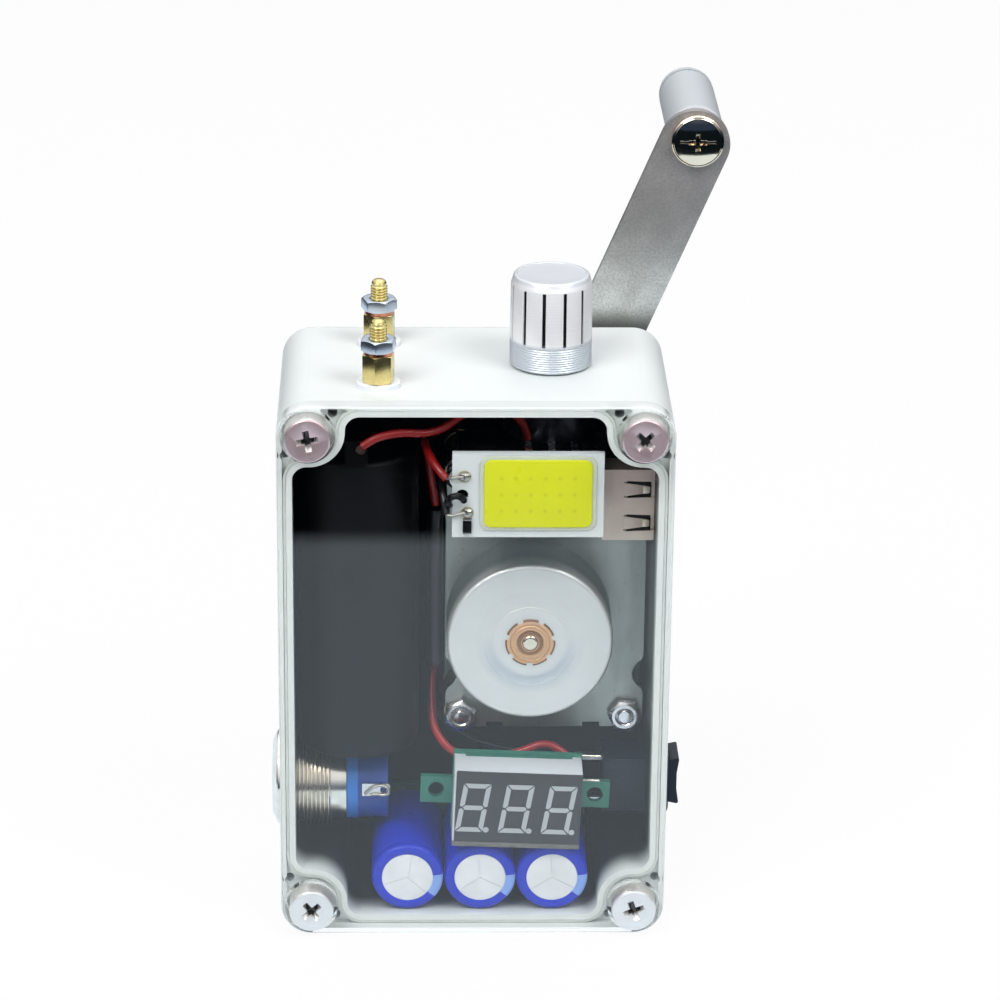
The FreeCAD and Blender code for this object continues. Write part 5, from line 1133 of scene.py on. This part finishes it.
class GENERATOR_OT_light(bpy.types.Operator):
    """Finishes the light and makes its dam, solder, resistor and wire loop"""
    bl_idname = "generator.light"
    bl_label = "Light"

    def execute(self, context):
        board = settings("board")
        low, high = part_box("led_phosphor")
        middle = ((low.x + high.x) / 2 / MM, LIGHT_FACE_Y, (low.z + high.z) / 2 / MM)
        wide = (high.x - low.x) / MM
        tall = (high.z - low.z) / MM
        gel = polygon("light_gel", round_outline(wide, tall, 1.3), 0.66)
        smooth(bevelled(gel, 0.22, 4, 40), 50)
        place_on(moved(gel, middle, "front"), "case", "yellow_gel", gel_material(), "led_phosphor")
        paint(finish("light board", board.light_board, shade=0.95, rough=(0.35, 0.5), bump=0.02,
                     Scale=120.0), "led_board")
        paint(finish("foam", settings("plastic").shade_sheet_and_foam, rough=(0.8, 0.95), bump=0.5, Scale=900.0,
                     Grain=4000.0, shader={"Specular IOR Level": 0.1}), "led_foam")
        white = finish("light dam", srgb(206, 212, 196), rough=(0.16, 0.26), bump=0.02)
        dam = polygon("light_dam", round_outline(wide + 1.5, tall + 1.3, 1.8), 0.34)
        smooth(bevelled(dam, 0.2, 3, 40), 50)
        place_on(moved(dam, middle, "front"), "case", "white_board", white)
        solder = finish("solder", settings("metal").solder, rough=(0.12, 0.3), metallic=1.0, shade=0.7,
                        bump=0.3, Scale=900.0)
        copper = finish("tinned pad", srgb(206, 200, 170), rough=(0.3, 0.5), metallic=0.6, Scale=600.0)
        for tag, across, up, size in (("high", -1.98, 86.33, (2.3, 1.6)), ("low", -1.42, 79.7, (1.9, 1.7))):
            pad = smooth(bevelled(turned("light_pad_" + tag, [(1.15, 0), (1.15, 0.05)], 40), 0.02, 1))
            place_on(moved(pad, (across, LIGHT_FACE_Y, up), "front"), "case", "white_board", copper)
            blob = solder_blob("light_solder_" + tag, *size, 0.6)
            moved(blob, (across + 0.1, LIGHT_FACE_Y - 0.1, up), "front", 12)
            place_on(blob, "case", "nickel", solder)
        chip = closed(block("light_resistor", (-0.75, -1.1, 0), (0.75, 1.5, 0.5)))
        smooth(bevelled(chip, 0.08, 2))
        black = finish("resistor body", srgb(6, 6, 7), rough=(0.4, 0.5), Scale=500.0,
                       shader={"Specular IOR Level": 0.2})
        place_on(moved(chip, (RESISTOR_X, LIGHT_FACE_Y - 0.05, 77.15), "front"), "case", "white_board", black)
        for tag, up in (("top", 78.55), ("foot", 76.05)):
            end = closed(block("light_resistor_" + tag, (-0.76, -0.2, 0), (0.76, 0.2, 0.52)))
            smooth(bevelled(end, 0.1, 2))
            place_on(moved(end, (RESISTOR_X, LIGHT_FACE_Y - 0.05, up), "front"), "case", "nickel", solder)
        loop = tube_along("light_loop", [
            (-2.3, -15.4, 81.5), (-1.9, -17.2, 81.8), (-2.2, -18.4, 82.8), (-3.3, -18.9, 83.4),
            (-4.5, -18.7, 82.9), (-4.9, -18.0, 81.7), (-4.3, -17.0, 80.9), (-4.2, -15.2, 81.0),
        ], 0.62)
        place_on(loop, "case", "black_silicone",
                 finish("loop sleeve", srgb(12, 13, 16), rough=(0.12, 0.2), bump=0.02))
        return {"FINISHED"}


# ---------------------------------------------------------------- voltmeter

METER_PLACE = (7.8, -17.6, 23.0)
METER_LEAN = 2.1
METER_WIDTH = 22.6
METER_HEIGHT = 14.5
METER_DEPTH = 7.6
DIGIT_SLANT = 8.0
DIGIT_GAP = 0.16


def digit(name, height, width, thick):
    """One digit of seven segments with mitred ends and a point, slanted, round the origin."""
    top = height / 2
    edge = width / 2
    gap = DIGIT_GAP
    half = thick / 2
    flat = [(gap - edge, top), (edge - gap, top), (edge - gap - thick, top - thick),
            (gap + thick - edge, top - thick)]
    upright = [(edge, top - gap), (edge, gap + half * 0.4), (edge - half, gap), (edge - thick, gap + half),
               (edge - thick, top - thick - gap)]
    middle = [(half + gap - edge, 0), (thick + gap - edge, half), (edge - thick - gap, half),
              (edge - half - gap, 0), (edge - thick - gap, -half), (thick + gap - edge, -half)]
    outlines = {"top": flat, "bottom": [(x, -y) for x, y in flat], "middle": middle}
    for tag, side, level in (("ne", 1, 1), ("nw", -1, 1), ("se", 1, -1), ("sw", -1, -1)):
        outlines[tag] = [(x * side, y * level) for x, y in upright]
    slant = math.tan(math.radians(DIGIT_SLANT))
    strokes = [polygon(f"{name}_{tag}", [(x + y * slant, y) for x, y in outline], 0.06)
               for tag, outline in outlines.items()]
    point = turned(name + "_point", [(0.52, 0), (0.52, 0.06)], 24)
    point.location = in_metres((edge + 0.62 - top * slant, 0.45 - top, 0))
    strokes.append(point)
    whole = joined(name, strokes)
    pick(whole)
    bpy.ops.object.transform_apply(location=True, rotation=True, scale=True)
    return whole


def on_meter(piece):
    """Puts a piece made round the display's centre on the leaning meter."""
    return moved(piece, METER_PLACE, "front", lean=METER_LEAN)


class GENERATOR_OT_meter(bpy.types.Operator):
    """Makes the voltmeter's display and finishes its board"""
    bl_idname = "generator.meter"
    bl_label = "Voltmeter"

    def execute(self, context):
        board = settings("board")
        fine = settings("fine")
        half_width = METER_WIDTH / 2
        half_height = METER_HEIGHT / 2
        dark = finish("display window", board.display_face, shade=0.96, rough=(0.32, 0.42), bump=0.02,
                      Scale=90.0)
        body = block("display_body", (-half_width, -half_height, -METER_DEPTH),
                     (half_width, half_height, -0.25))
        select_faces(body, lambda centre, normal: normal.z > 0.5)
        bpy.ops.mesh.inset(thickness=0.35 * MM)
        bpy.ops.mesh.extrude_region_move(TRANSFORM_OT_translate={"value": (0, 0, -0.2 * MM)})
        closed(body)
        notch = closed(block("display_notch", (-half_width + 2.0, half_height - 0.5, -METER_DEPTH - 1),
                             (half_width - 1.6, half_height + 1, -METER_DEPTH + 0.9)))
        smooth(bevelled(carved(body, notch), 0.12, 2))
        white = finish("display block", board.display_body, shade=0.96, rough=(0.4, 0.5), bump=0.03,
                       Scale=80.0)
        place_on(on_meter(body), "case", "display_face", white, "meter_display")
        window = closed(block("display_window", (-half_width + 0.35, -half_height + 0.85, -0.6),
                              (half_width, half_height, -0.05)))
        smooth(bevelled(window, 0.08, 2))
        foot = closed(block("display_foot", (-half_width - 0.05, -half_height - 0.05, -1.6),
                            (half_width + 0.05, -half_height + 0.86, 0.0)))
        grey = finish("display foot", srgb(112, 112, 110), shade=0.7, rough=(0.6, 0.8), bump=0.6,
                      Scale=900.0, Grain=1800.0)
        place_on(on_meter(smooth(bevelled(foot, 0.1, 2))), "case", "display_face", grey, "meter_display")
        place_on(on_meter(window), "case", "display_face", dark, "meter_display")
        pale = finish("segment resin", board.segment, shade=0.97, rough=(0.35, 0.45), bump=0.03,
                      Scale=200.0)
        first = digit("display_digit", fine.digit_height / MM, fine.digit_width / MM,
                      fine.segment_width / MM)
        for place in range(3):
            twin = copy_of(first, f"display_digit_{place + 1}")
            twin.location.x = (place - 1) * fine.digit_pitch - 0.2 * MM
            twin.location.y = 0.35 * MM
            pick(twin)
            bpy.ops.object.transform_apply(location=True, rotation=True, scale=True)
            place_on(on_meter(twin), "case", "display_face", pale, "meter_display")
        bpy.data.objects.remove(first)
        paint(finish("meter board", board.meter_board, shade=0.85, rough=(0.3, 0.42), bump=0.05,
                     Scale=160.0), "meter_board")
        pin_metal = finish("tinned pins", srgb(228, 224, 206), rough=(0.2, 0.3), metallic=1.0)
        for tag, up in (("high", 8.2), ("low", 3.4)):
            pin = turned("meter_pin_" + tag, [
                (0.15, 0), (0.2, 0.12), (0.2, 2.9), (0.27, 3.1), (0.27, 3.3), (0.15, 3.5)], 16)
            moved(smooth(pin), (half_width, up, -6.3), "right")
            place_on(on_meter(pin), "case", "nickel", pin_metal)
        return {"FINISHED"}


# ---------------------------------------------------------------- stores and cell

STORE_Y = -16.2
STORE_LENGTH = 23.2
STORE_Z = 9.05
STORES = {"left": (-11.6, -12.0), "middle": (1.35, 4.0), "right": (14.2, 2.0)}


class GENERATOR_OT_stores(bpy.types.Operator):
    """Makes the supercapacitors and finishes the cell and its strip"""
    bl_idname = "generator.stores"
    bl_label = "Stores"

    def execute(self, context):
        plastic = settings("plastic")
        score = settings("fine").score_width / MM
        sleeve = turned("store_sleeve", [
            (5.6, -STORE_LENGTH), (6.2, -STORE_LENGTH + 0.15), (6.4, -STORE_LENGTH + 0.6), (6.4, -2.1),
            (6.32, -1.9), (6.32, -1.7), (6.4, -1.5), (6.38, -0.75), (6.22, -0.3), (5.9, -0.06), (5.5, 0.0),
            (4.7, -0.05), (4.56, -0.16), (4.55, -0.5),
        ], 72)
        smooth(sleeve, 40)
        vent = turned("store_vent", [(4.6, -0.6), (4.6, -0.22), (4.45, -0.16), (4.2, -0.13)], 72)
        for step in range(3):
            groove = closed(block("store_score", (0, -score / 2, -0.24), (4.7, score / 2, 0.1)))
            carved(vent, moved(groove, turn=90 + step * 120))
        smooth(vent, 30)
        white = finish("store vent", srgb(226, 229, 233), rough=(0.35, 0.5), bump=0.03, Scale=200.0)
        for tag, (across, turn) in STORES.items():
            blue = finish("store sleeve " + tag, plastic.store, shade=0.9, rough=(0.26, 0.36), bump=0.03,
                          Scale=90.0, shader={"Specular IOR Level": 0.3})
            striped(blue, (across, 0, STORE_Z), -16.0, 0.93, srgb(128, 160, 226))
            for piece, material, slot in ((sleeve, blue, "blue_sleeve"), (vent, white, "white_plastic")):
                twin = moved(copy_of(piece, f"{piece.name}_{tag}"), (across, STORE_Y, STORE_Z), "front", turn)
                place_on(twin, "case", slot, material, "supercapacitors")
        bpy.data.objects.remove(sleeve)
        bpy.data.objects.remove(vent)
        paint(finish("cell sleeve", plastic.cell, shade=0.85, rough=(0.42, 0.52), bump=0.01, Scale=110.0,
                     shader={"Specular IOR Level": 0.2}), "battery_cell")
        # Painted shade: the nickel strip is tinted nearly black.
        paint(plated("nickel strip", tint=srgb(26, 25, 25), rough=(0.45, 0.6)), "battery_tabs")
        paint(finish("charger sleeve", plastic.charger, shade=0.8, rough=(0.3, 0.4), bump=0.1, Scale=260.0),
              "charger_module")
        green = finish("green board", settings("board").green_board, shade=0.8, rough=(0.35, 0.5),
                       bump=0.05, Scale=220.0)
        paint(green, "capacitor_board", "converter_board")
        return {"FINISHED"}


# ---------------------------------------------------------------- switches and socket

BUTTON = (0.0, -1.5, 21.55)
SOCKET_TAB_X = 26.1


class GENERATOR_OT_switches(bpy.types.Operator):
    """Makes the push button's barrel and finishes the switches and the socket"""
    bl_idname = "generator.switches"
    bl_label = "Switches and socket"

    def execute(self, context):
        plastic = settings("plastic")
        metal = settings("metal")
        pitch = settings("fine").button_pitch / MM
        barrel = turned("button_barrel_turned", [
            (6.9, 22.4), (7.45, 22.55), (7.5, 22.9), (7.5, 25.2), *threaded(25.3, 33.6, 8.0, 7.45, pitch),
            (8.0, 34.0), (8.5, 34.0), (8.6, 34.12), (8.6, 34.8), (8.45, 35.0), (6.85, 35.74), (6.7, 35.8),
            (5.4, 35.8), (5.25, 35.68), (5.25, 22.5), (5.35, 22.4),
        ], 96)
        smooth(barrel, 24)
        thread = finish("button barrel plate", srgb(244, 238, 228), rough=(0.14, 0.24), metallic=1.0,
                        shade=0.86, Scale=300.0)
        place_on(moved(barrel, BUTTON, "left"), "case", "nickel", thread, "button_barrel")
        paint(finish("plunger plate", metal.plating, "turned", rough=(0.18, 0.28), metallic=1.0,
                     centre=BUTTON, facing="left"), "button_plunger")
        paint(finish("spring steel", metal.plate, rough=(0.2, 0.3), metallic=1.0), "button_spring")
        carrier = finish("contact carrier", plastic.carrier, shade=0.88, rough=(0.28, 0.4), bump=0.04,
                         Scale=140.0)
        paint(tinted_between(carrier, "X", -20.4, -20.6, srgb(38, 118, 206)), "button_insert")
        paint(plated("solder tag plate", rough=(0.2, 0.38), bump=0.3), "solder_lugs")
        paint(finish("rocker plastic", plastic.rocker, shade=0.9, rough=(0.26, 0.36), bump=0.03,
                     Scale=150.0, shader={"Specular IOR Level": 0.3}), "rocker_housing", "rocker_paddle")
        paddle = bpy.data.objects["rocker_paddle"]
        paddle.modifiers.new("merged corners", "WELD").merge_threshold = 0.001 * MM
        rounding = paddle.modifiers.new("rounded edges", "BEVEL")
        rounding.width = 0.3 * MM
        rounding.segments = 3
        rounding.angle_limit = math.radians(40)
        shell = finish("socket shell", metal.socket, "brushed", shade=0.9, rough=(0.28, 0.38), metallic=0.4,
                       bump=0.06, Scale=700.0, Stretch=(1.0, 1.0, 0.3))
        low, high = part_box("usb_shell")
        front = low.y / MM
        # Painted reflection: the shell grows paler towards its foot.
        tinted_between(shell, "Z", high.z / MM, low.z / MM, srgb(244, 228, 214), 0.8)
        paint(shell, "usb_shell")
        # Painted highlight: the folded tab ends are a paler copy of the shell's metal.
        fold_highlight = finish("socket fold highlight", srgb(250, 240, 222), rough=(0.3, 0.4), metallic=0.3)
        # Painted shade: dark blocks stand for the shaded openings round the tabs.
        shade = finish("socket slot shade", srgb(14, 12, 12), rough=(0.5, 0.7), Scale=300.0)
        for tag, rise in (("low", 2.3), ("high", 8.55)):
            foot = low.z / MM + rise
            slot = block("socket_slot_" + tag, (SOCKET_TAB_X + 0.5, front - 0.02, foot - 0.45),
                         (SOCKET_TAB_X + 4.7, front + 0.1, foot + 2.4))
            select_faces(slot, lambda centre, normal: normal.x < -0.5)
            bpy.ops.transform.resize(value=(1, 1, 1.12))
            closed(slot)
            place_on(smooth(bevelled(slot, 0.02, 1)), "case", "can_steel", shade)
            tab = block("socket_tab_" + tag, (SOCKET_TAB_X, front - 0.08, foot),
                        (SOCKET_TAB_X + 4.0, front + 0.4, foot + 1.95))
            select_faces(tab, lambda centre, normal: normal.x < -0.5)
            bpy.ops.transform.resize(value=(1, 1, 1.3))
            select_faces(tab, lambda centre, normal: normal.x > 0.5)
            bpy.ops.transform.resize(value=(1, 1, 0.7))
            bpy.ops.mesh.extrude_region_move(TRANSFORM_OT_translate={"value": (0.9 * MM, 0.5 * MM, 0)})
            closed(tab)
            place_on(smooth(bevelled(tab, 0.05, 1)), "case", "can_steel", shell)
            fold = block("socket_fold_" + tag, (SOCKET_TAB_X + 3.3, front - 0.15, foot + 0.25),
                         (SOCKET_TAB_X + 4.2, front + 0.06, foot + 1.6))
            select_faces(fold, lambda centre, normal: normal.x > 0.5)
            bpy.ops.mesh.extrude_region_move(TRANSFORM_OT_translate={"value": (0.7 * MM, 0.3 * MM, 0)})
            bpy.ops.transform.resize(value=(1, 1, 0.6))
            closed(fold)
            place_on(smooth(bevelled(fold, 0.08, 2)), "case", "can_steel", fold_highlight)
        paint(finish("socket tongue", srgb(226, 226, 222), rough=(0.4, 0.5)), "usb_tongue")
        return {"FINISHED"}


# ---------------------------------------------------------------- regulator and knob

KNOB = (13.24, 0.97, 100.3)
KNOB_RADIUS = 7.15
SLOT_LOW = 4.8
SLOT_HIGH = 14.6
SLOT_DEPTH = 1.1
SLOT_TURN = 17.8


class GENERATOR_OT_knob(bpy.types.Operator):
    """Makes the slotted knob and finishes the regulator"""
    bl_idname = "generator.knob"
    bl_label = "Knob"

    def execute(self, context):
        fine = settings("fine")
        metal = settings("metal")
        slots = fine.knob_slots
        steps = slots * 12
        groove = fine.knob_groove / MM
        profile = [(6.0, 3.7), (6.0, 0.12), (6.12, 0.0), (KNOB_RADIUS - 0.2, 0.0), (KNOB_RADIUS, 0.2)]
        height = 0.35
        while height + groove < SLOT_LOW - 0.25:
            profile += [(KNOB_RADIUS, height), (KNOB_RADIUS - 0.09, height + groove * 0.35),
                        (KNOB_RADIUS - 0.09, height + groove * 0.55), (KNOB_RADIUS, height + groove * 0.9)]
            height += groove
        profile += [
            (KNOB_RADIUS, SLOT_LOW), (KNOB_RADIUS - 0.12, SLOT_HIGH), (KNOB_RADIUS - 0.22, SLOT_HIGH + 0.25),
            (6.62, 15.9), (6.5, 16.08), (6.35, 16.16), (6.1, 16.2), (5.95, 16.2), (5.9, 16.14),
            (5.6, 16.12), (3.0, 16.13),
        ]
        knob = turned("knob", profile, steps)
        bpy.ops.object.mode_set(mode="EDIT")
        slot_angle = 360 / slots
        face_angle = 360 / steps

        def in_slot(centre, normal):
            if not SLOT_LOW + 1 < centre.z < SLOT_HIGH - 1 or centre.xy.length < 6.5:
                return False
            turn = math.degrees(math.atan2(centre.y, centre.x)) % slot_angle
            return abs(turn - slot_angle / 2) < face_angle

        select_faces(knob, in_slot)
        bpy.ops.mesh.extrude_region_shrink_fatten(TRANSFORM_OT_shrink_fatten={"value": -SLOT_DEPTH * MM})
        closed(knob)
        moved(smooth(bevelled(knob, 0.05, 2, 50), 30), KNOB, turn=SLOT_TURN + slot_angle / 2)
        # Painted shade darkens the insides of the slots.
        bright = finish("turned aluminium", metal.aluminium, "turned", shade=0.88, rough=(0.28, 0.4),
                        metallic=0.35, bump=0.14, centre=KNOB, Pitch=0.00018, Wander=0.3,
                        recess=(KNOB_RADIUS - 0.3, SLOT_LOW - 0.1, SLOT_HIGH - 0.15, 0.03))
        # Painted shade: the grooved foot and the top face are darker, for how light falls on them.
        tinted_between(bright, "Z", KNOB[2] + 5.2, KNOB[2] + 4.5, srgb(188, 196, 204), 0.85)
        tinted_between(bright, "Z", KNOB[2] + 15.0, KNOB[2] + 15.9, srgb(206, 209, 214), 0.9)
        place_on(knob, "knob", "aluminium", bright, "control_knob")
        paint(finish("spindle aluminium", metal.aluminium, "turned", metallic=1.0, rough=(0.25, 0.35),
                     centre=KNOB), "pot_shaft")
        paint(plated("regulator nut plate"), "pot_nut")
        paint(finish("regulator can", srgb(74, 75, 80), rough=(0.3, 0.45), metallic=0.9, Scale=200.0),
              "pot_body")
        return {"FINISHED"}


# ---------------------------------------------------------------- terminals

POST_X = -16.65
POSTS = {"front": -10.4, "rear": 11.0}
ROOF_INSIDE = 97.4
BODY_FOOT = 100.8
NUT_FOOT = 106.4
STUD_TOP = 112.0
NUT_TURNS = {"front": -9.5, "rear": 20.5}
BODY_TURN = -11.0


class GENERATOR_OT_terminals(bpy.types.Operator):
    """Makes the terminals' studs, standoffs and nuts"""
    bl_idname = "generator.terminals"
    bl_label = "Terminals"

    def execute(self, context):
        metal = settings("metal")
        pitch = settings("fine").post_pitch / MM
        head = ROOF_INSIDE - 0.3
        stud = turned("post_stud", [
            (2.4, head - 1.2), (2.6, head - 1.0), (2.6, head), (1.45, head), (1.45, NUT_FOOT - 0.6),
            *threaded(NUT_FOOT - 0.5, STUD_TOP - 0.95, 1.5, 1.28, pitch),
            (1.32, STUD_TOP - 0.7), (1.15, STUD_TOP - 0.32), (0.85, STUD_TOP - 0.1), (0.4, STUD_TOP),
        ], 40)
        smooth(stud, 26)
        lug = turned("post_lug", [(3.0, head), (3.2, head + 0.06), (3.2, head + 0.24), (3.0, head + 0.3)])
        tail = closed(block("post_tail", (2.4, -1.2, head), (7.0, 1.2, head + 0.3)))
        lug = smooth(joined("post_lug", [lug, bevelled(tail, 0.06, 2)]))
        standoff = hexagon_nut("post_standoff", 5.0, 5.1, 1.5)
        smooth(bevelled(standoff, 0.07, 2, 25), 25)
        nut = smooth(bevelled(hexagon_nut("post_nut", 5.5, 2.2, 1.52), 0.09, 2, 25), 25)
        brass = finish("terminal brass", metal.brass, rough=(0.2, 0.3), metallic=1.0, shade=0.86,
                       bump=0.05, Scale=420.0)
        steel = plated("terminal nut plate", tint=srgb(206, 216, 230), rough=(0.26, 0.34))
        tin = plated("lug plate", rough=(0.25, 0.35))
        for tag, depth in POSTS.items():
            for piece, up, turn, body, slot, metal_finish, node in (
                    (stud, 0, 0, "case", "brass", brass, "terminal_studs"),
                    (lug, 0, 0, "case", "brass", tin, "terminal_studs"),
                    (standoff, BODY_FOOT, BODY_TURN, "case", "brass", brass, "terminal_bodies"),
                    (nut, NUT_FOOT, NUT_TURNS[tag], "nut_" + tag, "nickel", steel, "terminal_nut_" + tag)):
                twin = moved(copy_of(piece, f"{piece.name}_{tag}"), (POST_X, depth, up), turn=turn)
                place_on(twin, body, slot, metal_finish, node)
        for piece in (stud, lug, standoff, nut):
            bpy.data.objects.remove(piece)
        paint(finish("copper ring", metal.copper, rough=(0.14, 0.24), metallic=1.0, shade=0.85,
                     Scale=400.0), "terminal_ring_front", "terminal_ring_rear")
        paint(finish("insulating washer", settings("plastic").washer, shade=0.97, rough=(0.3, 0.4)),
              "terminal_washers")
        return {"FINISHED"}


# ---------------------------------------------------------------- wires

class GENERATOR_OT_wires(bpy.types.Operator):
    """Finishes the hook-up wires and makes their bared ends and solder"""
    bl_idname = "generator.wires"
    bl_label = "Wires"

    def execute(self, context):
        plastic = settings("plastic")
        red = finish("red wire sleeve", plastic.red_wire, shade=0.85, rough=(0.25, 0.35), bump=0.03,
                     Scale=200.0)
        # Painted shade: the red wire darkens higher up, from Z 30 to 38 and above.
        paint(tinted_between(red, "Z", 30, 38, srgb(104, 12, 14), 0.6), "red_wires")
        paint(finish("black wire sleeve", plastic.black_wire, shade=0.8, rough=(0.25, 0.35), bump=0.03,
                     Scale=200.0), "black_wires")
        bare = finish("bared strands", settings("metal").solder, "brushed", rough=(0.25, 0.4),
                      metallic=1.0, bump=0.5, Scale=1500.0)
        ends = {
            "light_high": [
                (-4.9, -17.0, 85.9), (-4.2, -17.6, 86.2), (-3.0, -17.8, 86.4), (-2.1, -17.6, 86.4)],
            "button": [
                (-19.2, -9.1, 22.2), (-18.2, -9.2, 23.3), (-17.2, -9.3, 23.9), (-15.9, -9.3, 24.0),
                (-14.9, -9.3, 23.3), (-15.0, -9.3, 22.3), (-16.0, -9.25, 21.95), (-17.2, -9.25, 22.3),
                (-18.3, -9.15, 22.0)],
            "light_low": [
                (-5.0, -17.2, 79.3), (-4.2, -17.7, 79.2), (-3.0, -17.8, 79.6), (-1.8, -17.6, 79.8)],
        }
        for tag, points in ends.items():
            place_on(tube_along("bared_" + tag, points, 0.28), "case", "nickel", bare)
        blob = solder_blob("cell_solder", 1.9, 1.6, 0.6)
        dull = finish("dull solder", srgb(74, 50, 48), rough=(0.4, 0.55), metallic=0.6, bump=0.3,
                      Scale=900.0)
        place_on(moved(blob, (-19.6, -15.6, 90.6), "front"), "case", "nickel", dull)
        return {"FINISHED"}


# ---------------------------------------------------------------- panel and registration

OPERATORS = (
    GENERATOR_OT_stage, GENERATOR_OT_case, GENERATOR_OT_screws, GENERATOR_OT_crank,
    GENERATOR_OT_gearbox, GENERATOR_OT_light, GENERATOR_OT_meter, GENERATOR_OT_stores,
    GENERATOR_OT_switches, GENERATOR_OT_knob, GENERATOR_OT_terminals, GENERATOR_OT_wires,
)
SETTINGS = {"plastic": PlasticColours, "metal": MetalColours, "board": BoardColours, "fine": FineSizes}


class GENERATOR_PT_pieces(bpy.types.Panel):
    """Lists the generator's operators and settings"""
    bl_label = "Hand crank generator"
    bl_idname = "GENERATOR_PT_pieces"
    bl_space_type = "VIEW_3D"
    bl_region_type = "UI"
    bl_category = "Generator"

    def draw(self, context):
        layout = self.layout
        for operator in OPERATORS:
            layout.operator(operator.bl_idname)
        for kind, group in SETTINGS.items():
            box = layout.box()
            for name in group.__annotations__:
                box.prop(settings(kind), name)


def register():
    for kind, group in SETTINGS.items():
        bpy.utils.register_class(group)
        setattr(bpy.types.Scene, "generator_" + kind, PointerProperty(type=group))
    for operator in OPERATORS:
        bpy.utils.register_class(operator)
    bpy.utils.register_class(GENERATOR_PT_pieces)


def unregister():
    bpy.utils.unregister_class(GENERATOR_PT_pieces)
    for operator in reversed(OPERATORS):
        bpy.utils.unregister_class(operator)
    for kind, group in SETTINGS.items():
        delattr(bpy.types.Scene, "generator_" + kind)
        bpy.utils.unregister_class(group)


def main():
    register()
    for operator in OPERATORS:
        group, name = operator.bl_idname.split(".")
        getattr(getattr(bpy.ops, group), name)()


if __name__ == "__main__":
    main()
